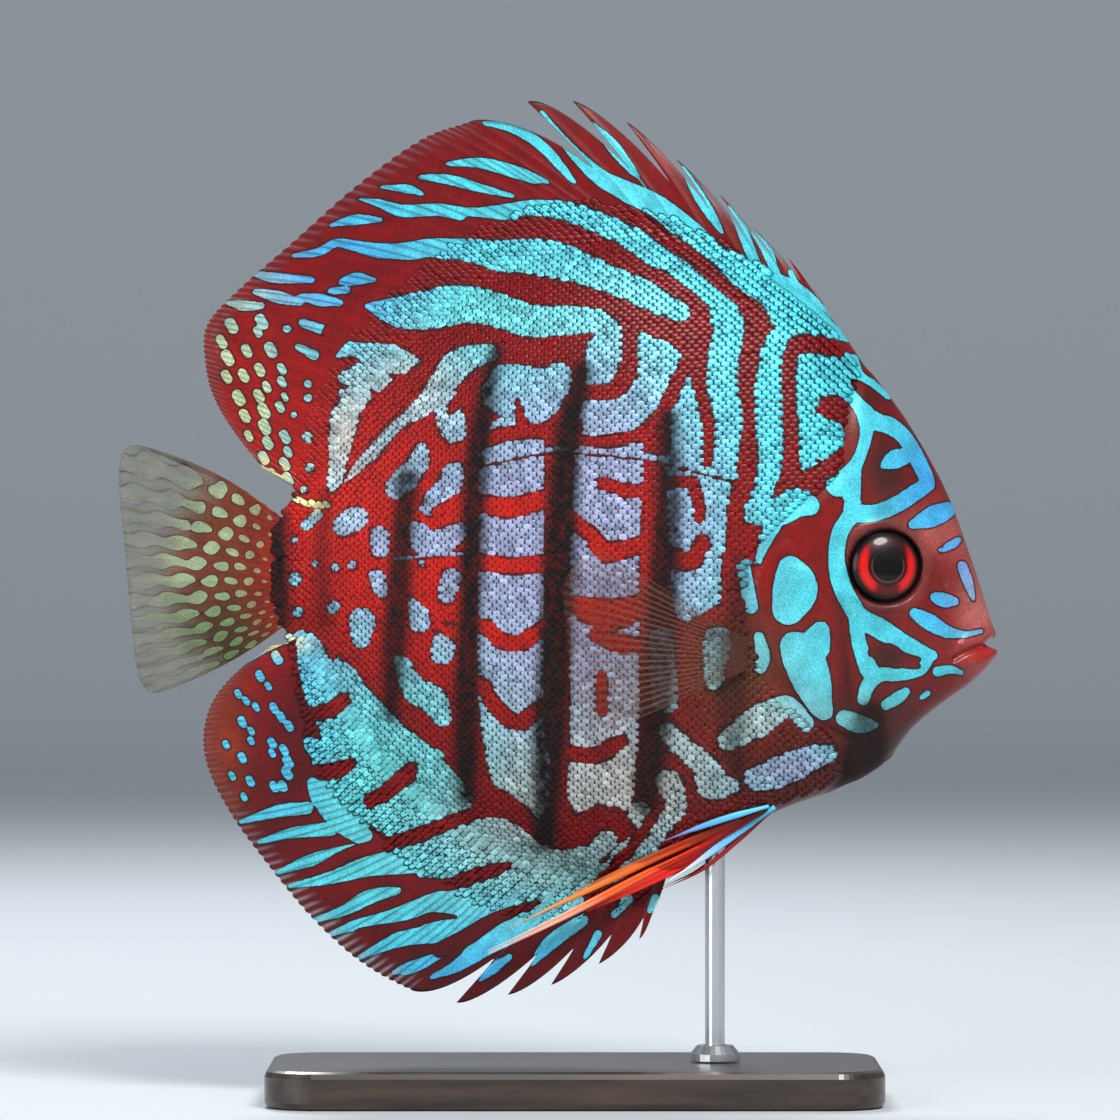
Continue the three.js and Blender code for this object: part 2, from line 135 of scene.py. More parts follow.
def line_distance(x, z, stroke, spread=0.0, steps=5):
    """Distance from (x, z) in mm to a curve of (px, py, half width) triples in photo pixels, less its
    half width there; and the places near enough to it for that to matter."""
    points = np.array(stroke, float).reshape(-1, 3)
    points = curve(points, np.linspace(0, 1, (len(points) - 1) * steps + 1)) if len(points) > 1 else points
    cx, cz = from_photo(points[:, 0], points[:, 1])
    r = points[:, 2] * mm_per_px
    pad = r.max() + spread
    near = np.nonzero((x > cx.min() - pad) & (x < cx.max() + pad)
                      & (z > cz.min() - pad) & (z < cz.max() + pad))
    nx, nz = x[near], z[near]
    best = np.full(nx.shape, 1e3)
    if len(cx) == 1:
        best = np.hypot(nx - cx[0], nz - cz[0]) - r[0]
    for i in range(len(cx) - 1):
        dx, dz = cx[i + 1] - cx[i], cz[i + 1] - cz[i]
        t = np.clip(((nx - cx[i]) * dx + (nz - cz[i]) * dz) / max(dx * dx + dz * dz, 1e-9), 0, 1)
        d = np.hypot(nx - cx[i] - t * dx, nz - cz[i] - t * dz) - (r[i] + t * (r[i + 1] - r[i]))
        best = np.minimum(best, d)
    return near, best


# Head shapes, along curves in the photo's pixels: (curve, height in mm, width in mm)
head_forms = [
    # the gill cover's rear edge, and the cheek plate's
    ((783, 536, 0, 760, 556, 0, 750, 578, 0, 751, 605, 0, 762, 640, 0, 774, 672, 0, 790, 698, 0,
      814, 720, 0, 845, 738, 0), -0.55, 0.75),
    ((842, 545, 0, 847, 600, 0, 850, 640, 0, 846, 690, 0, 836, 712, 0), -0.35, 0.8),
    # the mouth's slit, the upper and the lower lip
    ((1004, 643, 0, 985, 645, 0, 966, 651, 0, 951, 659, 0), -0.95, 0.42),
    ((1000, 633, 0, 978, 638, 0, 960, 644, 0), 0.5, 0.75),
    ((1000, 656, 0, 978, 660, 0, 958, 668, 0), 0.5, 0.85),
    # the folds above and below the mouth, the snout's ridge and the cheek
    ((980, 618, 0, 962, 632, 0, 946, 652, 0), -0.28, 0.5),
    ((962, 676, 0, 930, 690, 0, 895, 720, 0, 868, 745, 0), -0.25, 0.8),
    ((905, 606, 0, 925, 625, 0, 948, 640, 0), 0.22, 1.6),
    ((866, 640, 0, 872, 680, 0, 858, 720, 0), 0.3, 4.0)]
gill_side, gill_swell = (795, 585, 12, 790, 640, 12, 812, 690, 6), 0.35
nostril, nostril_lip, nostril_pit = (942, 582), 0.25, 0.6
eye_at = np.array([55.3, 90.6])
eye_radius, socket_radius, orbit_radius = 6.0, 6.3, 7.1
orbit_rise, socket_depth = 0.5, 1.7


def head_relief(x, z):
    """Sum of h exp(-(d / w)^2) over the head's grooves and folds, with the eye's rim and socket."""
    relief = np.zeros(x.shape)
    for path, height, width in head_forms:
        near, d = line_distance(x, z, path, spread=3 * width)
        relief[near] += height * np.exp(-((d / width) ** 2))
    near, d = line_distance(x, z, gill_side, spread=3)
    relief[near] += gill_swell * smooth(2.4, 0, d)
    r = np.hypot(x - eye_at[0], z - eye_at[1])
    relief += orbit_rise * np.exp(-(((r - orbit_radius) / 0.75) ** 2)) \
        - socket_depth * smooth(socket_radius + 0.35, 5.3, r)
    nx, nz = from_photo(*nostril)
    r = np.hypot(x - nx, z - nz)
    relief += nostril_lip * np.exp(-(((r - 1.1) / 0.5) ** 2)) - nostril_pit * np.exp(-((r / 0.6) ** 2))
    return relief


# The scaled part of the body ends along this line, in the photo's pixels, behind the bare face.
bare_line = (905, 330, 868, 372, 852, 420, 846, 470, 815, 500, 778, 530, 756, 560, 748, 600,
             760, 645, 778, 690, 812, 722, 838, 736, 846, 765, 870, 830)
bare_points = curve(np.array(bare_line, float).reshape(-1, 2), np.linspace(0, 1, 60))
bare_x, bare_z = from_photo(bare_points[:, 0], bare_points[:, 1])
bare_blend = 1.2


def scaled_share(x, z):
    """1 behind the bare face and 0 on it, with a soft change over bare_blend mm each way."""
    return 1 - smooth(-bare_blend, bare_blend, x - np.interp(-z, -bare_z, bare_x))


def mesh_from(name, points, faces):
    """A smooth mesh object from an array of points in millimetres and an array of faces."""
    mesh = bpy.data.meshes.new(name)
    points = np.ascontiguousarray(points, np.float32) * 0.001
    faces = np.ascontiguousarray(faces, np.int32)
    mesh.vertices.add(len(points))
    mesh.vertices.foreach_set("co", points.ravel())
    mesh.loops.add(faces.size)
    mesh.loops.foreach_set("vertex_index", faces.ravel())
    mesh.polygons.add(len(faces))
    mesh.polygons.foreach_set("loop_start", np.arange(0, faces.size, faces.shape[1], dtype=np.int32))
    mesh.polygons.foreach_set("use_smooth", np.ones(len(faces), bool))
    mesh.update(calc_edges=True)
    mesh.validate()
    piece = bpy.data.objects.new(name, mesh)
    bpy.context.scene.collection.objects.link(piece)
    return piece


def give(piece, name, values):
    """Stores one number, or one colour, at each of the piece's vertices."""
    values = np.ascontiguousarray(values, np.float32)
    kind, slot = ("FLOAT", "value") if values.ndim == 1 else ("FLOAT_COLOR", "color")
    if values.ndim > 1:
        values = np.column_stack([values, np.ones(len(values), np.float32)])
    kept = piece.data.attributes.get(name) or piece.data.attributes.new(name, kind, "POINT")
    kept.data.foreach_set(slot, values.ravel())


def closed_grid(rows, columns):
    """The quads of a grid that closes on itself along its columns."""
    start = np.arange(rows - 1)[:, None] * columns
    c = np.arange(columns)
    right = (c + 1) % columns
    return np.stack([start + c, start + right, start + columns + right, start + columns + c],
                    -1).reshape(-1, 4)


# The markings: the same pattern lies in the skin, on the scales and on the fins. It is drawn
# over the photo as round-ended strokes, each a curve of (px, py, half width) in the photo's pixels.
# The ground is red. Each layer, of bright or of red strokes, is drawn over the ones before it.
bright, red = 1, -1
markings = [
    (bright, [
        # the four bright bands of the back and shoulder
        (838, 336, 12, 812, 322, 20, 785, 304, 25, 744, 279, 19, 713, 259, 16, 683, 232, 16, 654, 208, 14,
         626, 191, 10, 601, 178, 8, 577, 156, 6, 556, 132, 4, 542, 112, 2),
        (500, 212, 7, 540, 208, 8, 581, 216, 10, 622, 234, 11, 654, 253, 13, 683, 275, 14, 707, 300, 15,
         727, 325, 15, 724, 352, 15, 722, 385, 16, 727, 425, 16, 722, 470, 15, 714, 505, 13, 716, 545, 8),
        (294, 256, 2, 320, 252, 4, 337, 243, 4, 364, 248, 6, 396, 253, 9, 429, 248, 9, 460, 251, 12,
         500, 256, 15, 540, 258, 18, 581, 267, 18, 622, 284, 15, 652, 300, 13, 679, 314, 9),
        (368, 306, 3, 399, 312, 15, 429, 310, 19, 460, 305, 20, 491, 309, 17, 529, 322, 16, 565, 322, 14,
         600, 325, 14),
        (605, 330, 15, 603, 358, 17, 598, 380, 12),
        # the nape and the forehead
        (792, 328, 16, 772, 358, 13, 768, 400, 15, 768, 440, 13, 767, 472, 11, 757, 500, 9),
        (806, 368, 13, 830, 378, 20, 846, 386, 18),
        (806, 372, 12, 806, 400, 12, 807, 430, 12, 806, 464, 9),
        (812, 428, 12, 831, 436, 11, 822, 453, 9),
        (836, 392, 9, 850, 402, 8),
        (850, 362, 9, 857, 400, 11, 861, 425, 11, 856, 450, 10, 846, 474, 10, 836, 484, 13),
        (850, 470, 9, 850, 495, 8, 848, 515, 8, 838, 532, 8, 834, 555, 8, 837, 578, 9, 845, 598, 9,
         857, 616, 9, 877, 628, 10, 903, 643, 8, 930, 655, 5),
        (928, 655, 5, 918, 669, 6, 896, 674, 6, 878, 674, 7, 866, 684, 7, 861, 698, 6),
        (852, 605, 7, 856, 640, 7, 866, 668, 9),
        (858, 375, 2, 870, 384, 5, 888, 397, 3),
        (866, 420, 10, 883, 424, 9, 900, 434, 8, 912, 451, 8, 921, 469, 8, 927, 482, 7),
        (927, 484, 7, 912, 494, 8, 894, 505, 8, 874, 513, 8, 856, 514, 9),
        (906, 456, 7, 893, 460, 9, 881, 466, 3),
        (910, 525, 4, 930, 517, 10, 947, 510, 8),
        (938, 551, 2, 950, 545, 4, 958, 540, 3),
        (961, 566, 5, 967, 583, 5, 972, 599, 2),
        (933, 597, 5, 942, 600, 7, 953, 601, 4),
        (912, 613, 5, 926, 621, 8, 944, 631, 6, 962, 634, 3, 980, 631, 2),
        (936, 671, 5, 948, 669, 4, 960, 672, 2),
        (884, 704, 5, 896, 697, 6, 904, 691, 4),
        (920, 697, 2, 926, 693, 3),
        (842, 717, 8, 858, 723, 9, 874, 724, 3),
        # the gill cover
        (788, 568, 12, 793, 588, 22, 786, 608, 16),
        (792, 645, 14, 800, 655, 20, 809, 678, 19, 818, 703, 12, 822, 710, 9),
        (818, 630, 9, 812, 645, 16),
        # between the gill cover and the shoulder, and the breast
        (752, 514, 11, 776, 512, 14, 795, 503, 14, 807, 506, 10),
        (770, 525, 9, 763, 542, 6, 756, 562, 3),
        (742, 566, 6, 745, 585, 7, 749, 606, 7),
        (757, 636, 5, 761, 655, 7, 759, 666, 6),
        (726, 738, 10, 752, 722, 15, 769, 712, 13, 786, 704, 9, 804, 722, 8),
        (754, 778, 11, 774, 772, 15, 801, 761, 14, 824, 752, 9),
        (668, 730, 9, 685, 752, 13, 705, 768, 14, 712, 784, 14, 732, 784, 7),
        (667, 780, 12, 675, 800, 12, 664, 822, 10),
        # the middle of the flank
        (646, 342, 10, 655, 372, 28, 640, 405, 30, 600, 416, 20),
        (684, 380, 12, 690, 420, 20, 690, 455, 20),
        (508, 392, 26, 530, 396, 30, 556, 380, 16),
        (512, 450, 32, 512, 600, 32, 512, 700, 32, 522, 780, 28, 530, 812, 14),
        (608, 455, 34, 604, 560, 34, 604, 640, 34, 604, 720, 34, 600, 790, 32),
        (690, 470, 26, 694, 540, 26, 694, 600, 24),
        (660, 640, 12, 664, 700, 12),
        (716, 640, 14, 712, 680, 9),
        (640, 812, 12, 652, 832, 13, 625, 858, 14, 602, 880, 8),
        # towards the tail
        (338, 356, 2, 359, 347, 10, 382, 356, 15, 414, 366, 9),
        (345, 378, 6, 366, 375, 12, 385, 384, 10),
        (344, 394, 5, 361, 396, 10, 347, 414, 14, 341, 438, 12, 338, 462, 9, 334, 486, 7),
        (425, 452, 9, 413, 472, 12, 398, 488, 11),
        (455, 472, 10, 446, 492, 13, 430, 506, 10),
        (490, 354, 8, 472, 358, 12, 456, 368, 15, 440, 388, 12, 420, 410, 9, 396, 430, 8, 374, 452, 7,
         352, 480, 6),
        (446, 398, 12, 452, 424, 14, 455, 440, 10),
        (419, 531, 9, 428, 545, 13, 446, 540, 12, 460, 532, 9),
        (452, 578, 10, 447, 596, 8),
        (418, 600, 8, 421, 622, 10),
        (447, 632, 10, 443, 652, 11),
        (402, 662, 7, 415, 688, 12, 434, 700, 14, 442, 716, 9),
        (345, 525, 11, 356, 519, 12),
        (380, 537, 10, 381, 549, 8),
        (353, 565, 4), (336, 567, 4), (316, 564, 3), (423, 564, 3),
        (378, 578, 8, 383, 592, 6),
        (363, 621, 13, 362, 638, 9),
        (334, 607, 6), (296, 579, 6), (298, 612, 5),
        (317, 515, 5, 307, 525, 5), (294, 540, 3),
        # the long bright field behind the belly, on the root of the anal fin
        (308, 645, 12, 318, 672, 18, 330, 700, 22, 350, 730, 28, 364, 765, 30, 385, 795, 30, 400, 815, 22,
         440, 800, 26, 462, 802, 10),
        (345, 668, 12, 368, 700, 16, 388, 740, 22, 420, 765, 22, 450, 788, 14),
        (312, 745, 8, 330, 760, 16, 320, 788, 12, 345, 812, 20, 362, 835, 10),
        (408, 738, 11, 432, 758, 12),
        # the lower bright field, on the anal fin in front
        (290, 886, 2, 330, 878, 6, 370, 866, 10, 420, 858, 14, 470, 842, 18, 500, 838, 20, 540, 860, 16,
         575, 862, 14, 608, 838, 9),
        (430, 868, 14, 480, 858, 18, 530, 880, 20, 570, 884, 14, 592, 868, 10),
        (328, 935, 2, 356, 925, 5, 394, 917, 8, 440, 903, 12, 480, 898, 16, 520, 890, 14),
        (358, 958, 2, 381, 947, 5, 407, 937, 8, 445, 930, 11, 480, 915, 12, 510, 902, 10),
        (432, 977, 2, 458, 965, 6, 486, 944, 11, 516, 929, 11, 540, 915, 9, 575, 900, 8),
        (310, 921, 2, 343, 911, 5, 369, 897, 7, 397, 890, 4),
        (277, 873, 2, 312, 860, 6, 353, 852, 8),
        (259, 842, 2, 292, 833, 5, 330, 829, 7),
        (241, 822, 2, 279, 811, 6, 307, 808, 6),
        (394, 972, 2, 412, 967, 6, 443, 954, 3),
        (480, 979, 2, 492, 969, 5, 509, 957, 3),
        (532, 964, 2, 550, 943, 7, 582, 920, 6),
        (585, 957, 2, 598, 934, 4),
        (614, 915, 3, 628, 899, 5),
        (650, 910, 3, 655, 898, 4),
        # streaks of the dorsal fin
        (359, 199, 1, 381, 204, 4, 403, 211, 6, 439, 210, 6, 472, 215, 7, 510, 212, 8),
        (329, 226, 1, 355, 220, 5, 381, 220, 2),
        (381, 187, 1, 407, 189, 4, 422, 194, 2),
        (420, 177, 2, 450, 180, 5, 480, 188, 4, 512, 196, 2),
        (448, 164, 2, 480, 163, 5, 515, 172, 6, 545, 183, 4),
        (484, 123, 2, 508, 126, 5, 530, 137, 5, 548, 152, 5, 562, 168, 4, 574, 182, 2),
        (590, 122, 2, 611, 144, 6, 626, 163, 5, 638, 177, 2),
        (683, 167, 2, 695, 189, 5, 709, 212, 5, 722, 232, 2),
        (729, 207, 2, 742, 230, 5, 752, 255, 5, 764, 273, 2),
        (753, 231, 2, 767, 251, 5, 775, 271, 4, 783, 285, 2),
        (790, 271, 2, 796, 284, 3, 803, 296, 2),
        (250, 273, 2, 275, 278, 5, 312, 280, 3),
        (256, 292, 3, 278, 297, 6, 300, 303, 3),
        (228, 303, 2, 245, 306, 5, 262, 306, 3),
        (342, 282, 3, 357, 279, 6, 374, 280, 2), (331, 291, 3, 346, 290, 4),
        (301, 297, 3, 320, 300, 6, 340, 303, 3),
        (303, 323, 4, 326, 331, 5), (298, 347, 3, 314, 355, 5), (287, 329, 4),
        (308, 384, 4), (308, 398, 4), (294, 415, 3), (308, 437, 5),
        (310, 468, 4), (304, 490, 4),
        # the pale edge lines where the dorsal and anal fins end at the tail
        (248, 458, 1.5, 268, 472, 3, 290, 482, 3), (286, 494, 2, 306, 503, 3, 328, 505, 3),
        (246, 662, 1.5, 268, 648, 3, 292, 637, 3, 304, 632, 2),
    ]),
    (red, [
        # the bands of the back and shoulder, then the flank from the tail to the breast
        (762, 318, 6, 750, 338, 8, 743, 380, 8, 747, 420, 7, 742, 470, 8, 734, 510, 9, 735, 545, 8),
        (540, 191, 8, 581, 195, 8, 622, 210, 8, 646, 222, 8, 667, 240, 8, 691, 257, 8, 709, 273, 8,
         730, 293, 8, 754, 311, 8, 762, 320, 7),
        (470, 224, 8, 505, 228, 8, 540, 230, 8, 571, 238, 8, 601, 253, 8, 632, 267, 8, 658, 279, 8,
         683, 295, 8, 701, 312, 8, 704, 326, 6),
        (376, 266, 8, 422, 269, 9, 460, 269, 9, 491, 277, 8, 529, 289, 8, 560, 294, 8, 601, 302, 8,
         622, 316, 8, 655, 332, 8, 681, 342, 8, 690, 364, 7, 700, 395, 7, 707, 430, 7, 706, 466, 5),
        (330, 332, 8, 391, 338, 7, 437, 338, 7, 468, 330, 7, 498, 340, 8, 521, 355, 10, 544, 358, 11,
         569, 345, 8, 590, 338, 4),
        (437, 340, 5, 428, 367, 8, 407, 382, 9, 384, 398, 8, 368, 415, 8, 361, 436, 4),
        (483, 378, 7, 465, 395, 8, 452, 411, 5),
        (342, 496, 8, 361, 482, 9, 384, 464, 9, 403, 440, 8, 422, 428, 8, 437, 444, 9, 452, 456, 8),
        (437, 444, 9, 437, 467, 8, 425, 486, 7, 414, 504, 7),
        (632, 335, 4, 632, 360, 6, 628, 378, 8, 612, 393, 9, 580, 393, 8),
        (518, 402, 3, 523, 426, 7),
        (438, 462, 8, 473, 445, 9, 512, 434, 8, 551, 433, 8, 584, 443, 7, 618, 441, 7, 643, 433, 7, 661, 414, 8,
         674, 388, 8, 684, 366, 7),
        (440, 514, 8, 462, 502, 9, 482, 504, 10, 512, 508, 11, 546, 499, 10),
        (430, 562, 6, 455, 560, 9, 482, 562, 9, 512, 566, 9, 546, 563, 10),
        (440, 626, 6, 462, 634, 8, 484, 625, 8, 502, 640, 9, 523, 641, 9, 545, 625, 8),
        (440, 676, 7, 462, 690, 8, 479, 681, 7, 496, 704, 9, 518, 721, 9, 545, 705, 9),
        (602, 484, 7, 634, 492, 8, 668, 484, 7, 690, 484, 7, 697, 504, 7, 698, 520, 5),
        (568, 517, 9, 592, 536, 9, 606, 552, 11, 634, 546, 9, 646, 542, 8),
        (570, 600, 6, 590, 610, 14, 614, 614, 16, 636, 606, 12),
        (596, 634, 8, 616, 642, 10, 638, 644, 8),
        (652, 540, 7, 672, 557, 10, 690, 560, 10, 702, 542, 8),
        (695, 624, 7, 712, 615, 8, 736, 604, 8),
        (601, 674, 6, 602, 710, 7),
        (566, 750, 8, 594, 754, 9, 620, 740, 8),
        (664, 752, 5, 676, 762, 6, 687, 774, 6, 690, 796, 6),
        (582, 838, 8, 600, 818, 10, 616, 812, 8),
        (660, 800, 6, 642, 832, 6, 622, 856, 6, 604, 878, 6, 590, 900, 5),
    ]),
    (bright, [
        # the lateral line's pale scales
        (484, 462, 2.5, 545, 451, 2.5, 607, 452, 2.5, 662, 460, 2.5, 701, 470, 2.5, 734, 478, 2),
        (394, 559, 1.0, 425, 556, 1.3, 450, 554, 1.3, 470, 553, 1.0),
    ]),
    (red, [
        # the dark line under them
        (484, 467, 1.4, 545, 455, 1.4, 607, 457, 1.4, 662, 465, 1.4, 701, 475, 1.4, 734, 483, 1.4),
        # the rear flank, the belly and the anal fin
        (411, 588, 6, 440, 612, 6, 452, 612, 9),
        (415, 642, 6, 423, 659, 8, 438, 673, 8, 456, 676, 8),
        (328, 628, 8, 340, 647, 8, 359, 663, 8, 374, 680, 9, 389, 695, 9, 402, 709, 9, 415, 723, 8,
         432, 736, 9, 448, 745, 9, 463, 763, 9, 476, 786, 9, 499, 796, 9, 519, 811, 10, 538, 828, 9,
         564, 828, 8, 584, 818, 9, 601, 810, 8),
        (478, 811, 7, 443, 825, 7, 412, 836, 7, 382, 845, 7, 352, 853, 7, 320, 868, 5),
        (508, 866, 5, 480, 874, 8, 450, 884, 7, 420, 883, 6, 390, 882, 5),
        (536, 903, 4, 497, 918, 7, 468, 936, 9, 440, 950, 8),
        (456, 917, 2, 432, 917, 5, 407, 925, 5, 360, 932, 5),
        (290, 712, 6, 321, 713, 8, 337, 706, 8, 344, 699, 7),
        (290, 772, 6, 310, 772, 8, 333, 771, 9, 350, 764, 7),
        (371, 801, 8, 389, 790, 9, 409, 773, 9, 412, 765, 5),
        # the nape and the forehead
        (850, 349, 6, 820, 346, 9, 797, 344, 8, 788, 362, 8, 787, 400, 8, 789, 440, 8, 791, 478, 9),
        (817, 412, 4, 829, 404, 8, 845, 414, 8, 850, 434, 8, 843, 455, 8, 827, 468, 9, 804, 482, 10),
        (851, 382, 4, 866, 394, 8, 884, 408, 8),
        (870, 652, 5, 885, 651, 9, 903, 661, 7, 916, 666, 3),
    ])]
# Rows of pale round spots at the back of the dorsal fin, and of the anal fin, in the photo's pixels.
spots = [
    (232, 326, 7), (262, 322, 7), (258, 332, 5), (222, 342, 6), (247, 351, 6), (271, 350, 7), (228, 358, 7),
    (260, 370, 6), (282, 369, 5), (244, 376, 6), (282, 382, 5), (267, 387, 5), (227, 377, 6), (259, 396, 6),
    (285, 397, 4), (280, 407, 5), (239, 398, 7), (264, 411, 7), (245, 416, 6), (265, 427, 7), (285, 437, 6),
    (268, 443, 6), (249, 436, 5), (288, 452, 5), (285, 464, 6), (264, 458, 6), (288, 479, 6), (272, 474, 5),
    (277, 658, 6), (260, 676, 5), (268, 686, 4), (238, 694, 4), (246, 701, 4), (256, 707, 4), (274, 708, 5),
    (281, 717, 5), (289, 726, 5), (242, 722, 5), (251, 731, 4), (251, 741, 4), (272, 743, 5), (272, 753, 4),
    (284, 750, 5), (242, 758, 5), (288, 762, 6), (287, 773, 6), (274, 787, 5), (283, 786, 5), (250, 781, 5),
    (232, 776, 4), (244, 797, 4), (315, 787, 8), (226, 745, 4)]
# The upright dark bars, from the face to the tail fin's root: the stroke, and how dark it is.
dark_bars = [
    ((836, 600, 2, 842, 650, 4, 847, 704, 4), 0.6),
    ((882, 496, 8, 884, 530, 12, 883, 600, 12, 876, 625, 9), 0.35),
    ((868, 716, 16, 864, 750, 22, 858, 800, 26), 0.85),
    ((737, 560, 6, 734, 620, 13, 730, 700, 15, 736, 770, 8), 0.62),
    ((668, 420, 9, 667, 500, 13, 662, 600, 17, 655, 700, 17, 646, 800, 14), 0.96),
    ((582, 372, 9, 568, 440, 14, 560, 540, 17, 555, 640, 17, 549, 740, 17, 545, 838, 12), 1.0),
    ((496, 352, 7, 480, 440, 12, 474, 520, 13, 470, 620, 12, 467, 720, 13, 467, 795, 10), 0.98),
    ((408, 480, 12, 402, 560, 12, 396, 640, 13, 392, 712, 9), 0.93),
    ((324, 500, 7, 322, 560, 8, 326, 620, 8), 0.62),
    ((279, 518, 8, 277, 570, 12, 281, 622, 9), 0.97)]
mark_reach = 1.4  # mm, the furthest that a place is told how far it lies from a marking's edge
bar_reach = 1.6


def pattern(x, z):
    """The distance in mm to the nearest edge of a bright marking, below 0 inside one: the least so far
    and each bright stroke's distance, then the most of that and each later red stroke's, negative."""
    mark = np.full(x.shape, mark_reach)
    ovals = [(px - 0.25 * r, py - 0.45 * r, 0.72 * r, px + 0.25 * r, py + 0.45 * r, 0.72 * r)
             for px, py, r in spots]
    for kind, strokes in markings + [(bright, ovals)]:
        for stroke in strokes:
            near, d = line_distance(x, z, stroke, spread=mark_reach)
            mark[near] = np.minimum(mark[near], d) if kind == bright else np.maximum(mark[near], -d)
    return np.clip(mark, -mark_reach, mark_reach)


def bar_share(x, z):
    """How dark the upright bars make a place: the most of strength * s(d), with s going from 1 inside
    the stroke's edge to 0 outside it."""
    dark = np.zeros(x.shape)
    for stroke, strength in dark_bars:
        near, d = line_distance(x, z, stroke, spread=bar_reach)
        dark[near] = np.maximum(dark[near], strength * smooth(1.5, -1.3, d))
    return dark


def srgb(r, g, b):
    """A colour as it looks, 0 to 255, in the linear values that light adds up in."""
    c = np.array([r, g, b], float) / 255
    return np.where(c <= 0.04045, c / 12.92, ((c + 0.055) / 1.055) ** 2.4)


turquoise, sky, deep_sky = srgb(72, 194, 208), srgb(60, 152, 216), srgb(56, 134, 210)
lavender, silver_green, olive = srgb(148, 154, 186), srgb(118, 152, 142), srgb(180, 194, 148)
cream, beige, sea_green = srgb(226, 214, 150), srgb(172, 164, 156), srgb(96, 196, 190)
crimson, orange_red, maroon = srgb(110, 0, 3), srgb(176, 20, 6), srgb(66, 4, 8)
face_red, lip_red, orbit_red = srgb(112, 22, 16), srgb(158, 22, 16), srgb(118, 52, 48)
brown, dusk, rust = srgb(84, 22, 12), srgb(88, 44, 24), srgb(124, 44, 20)
# the last colour here is painted shade for the eye's sunken socket
pink, umber, painted_socket_shade = srgb(176, 100, 96), srgb(50, 20, 16), srgb(30, 8, 8)
# Patches that draw the bright places' colour, and the red ones', towards another one: the colour,
# how far, and the patch's middle and radii in the photo's pixels.
bright_patches = (
    # the flank, the belly and the breast
    (lavender, 1.3, 520, 580, 150, 190), (lavender, 1.2, 600, 560, 80, 200), (lavender, 0.9, 380, 560, 90, 110),
    (lavender, 0.5, 690, 540, 50, 90), (beige, 0.9, 640, 780, 130, 90), (beige, 0.8, 520, 810, 90, 60),
    (silver_green, 0.8, 720, 690, 60, 70), (silver_green, 0.5, 560, 870, 90, 40),
    (beige, 0.8, 410, 380, 60, 60), (silver_green, 0.5, 860, 715, 40, 30),
    # the rear of the back and of the long fins
    (olive, 1.2, 235, 390, 60, 130), (beige, 0.9, 345, 440, 36, 60), (olive, 0.9, 275, 290, 50, 40),
    (sea_green, 0.7, 400, 750, 100, 110), (sea_green, 0.7, 470, 310, 140, 50), (sky, 0.9, 330, 270, 90, 70),
    # the forehead and snout, then the anal fin and the breast
    (sky, 0.9, 930, 480, 55, 60), (deep_sky, 0.9, 955, 560, 40, 50), (sky, 0.8, 500, 985, 160, 45),
    (sky, 0.5, 270, 730, 50, 110), (lavender, 0.9, 790, 768, 60, 30), (beige, 0.5, 760, 720, 50, 24),
    (lavender, 0.7, 970, 590, 24, 50), (sky, 0.6, 940, 615, 40, 25),
    # the pale edge lines at the tail
    (cream, 1.4, 306, 503, 26, 9), (cream, 1.4, 268, 472, 22, 12), (cream, 1.4, 270, 644, 30, 9))
red_patches = (
    # the flank, the fins, the face and the breast
    (orange_red, 1.1, 500, 560, 190, 130), (orange_red, 0.8, 340, 520, 90, 110),
    (orange_red, 0.3, 250, 400, 60, 110),
    (maroon, 0.9, 480, 960, 230, 90), (maroon, 0.7, 250, 820, 80, 90), (face_red, 1.1, 920, 590, 110, 130),
    (brown, 1.1, 790, 770, 150, 60), (dusk, 1.1, 735, 665, 60, 56),
    # dark umber patches on the forehead and cheek, painted shade on the throat, the pale snout and the lips
    (umber, 1.0, 885, 470, 26, 36), (umber, 0.9, 885, 655, 22, 16), (umber, 0.7, 872, 398, 24, 16),
    # the first patch here is painted shade that darkens the throat
    (umber, 0.9, 880, 740, 60, 50), (pink, 0.85, 978, 612, 22, 60), (pink, 0.5, 935, 530, 36, 26),
    (lip_red, 0.9, 984, 652, 26, 20),
    # the margins of the long fins
    (rust, 0.9, 222, 740, 26, 100), (maroon, 0.8, 300, 725, 26, 90), (rust, 0.5, 200, 330, 22, 90))


def patched(x, z, ground, patches):
    """Each place's colour: the ground's, drawn towards each patch's in turn, c = c + s (patch - c), with
    s = strength * exp(-(dx / rx)^2 - (dz / ry)^2), at most 1."""
    colour = np.tile(ground, (len(x), 1))
    for patch, strength, px, py, rx, ry in patches:
        cx, cz = from_photo(px, py)
        near = np.exp(-(((x - cx) / (rx * mm_per_px)) ** 2) - ((z - cz) / (ry * mm_per_px)) ** 2)
        colour += np.clip(strength * near, 0, 1)[:, None] * (patch - colour)
    return colour


def colours(x, z):
    """The bright and the red colour of each place, the red one drawn towards a pinkish brown round the eye's
    socket and to painted shade inside the socket.
    """
    bright_at, red_at = patched(x, z, turquoise, bright_patches), patched(x, z, crimson, red_patches)
    from_eye = np.hypot(x - eye_at[0], z - eye_at[1])[:, None]
    red_at += 0.75 * np.exp(-(((from_eye - 7.2) / 0.8) ** 2)) * (orbit_red - red_at)
    # painted shade: the skin in the sunken socket round the eye is darkened
    red_at += smooth(6.9, 6.2, from_eye) * (painted_socket_shade - red_at)
    return bright_at, red_at


left_drift = 1.1, 1.0  # mm along and up


def paint(piece, x, z, side, shade=1.0):
    """Gives the piece's vertices the markings at their side view places, the bright ones times shade.
    The left side's pattern is the right's, drifted by up to a scale, as no fish has two flanks quite
    alike: x + a sin(z / 6.5 + 1) and z + b sin(x / 7.5)."""
    drift = np.where(side > 0, 1.0, 0.0)
    x = x + drift * left_drift[0] * np.sin(z / 6.5 + 1)
    z = z + drift * left_drift[1] * np.sin(x / 7.5)
    give(piece, "mark", pattern(x, z))
    give(piece, "bar", bar_share(x, z))
    bright_at, red_at = colours(x, z)
    give(piece, "bright", bright_at * np.reshape(shade, (-1, 1)))
    give(piece, "red", red_at)


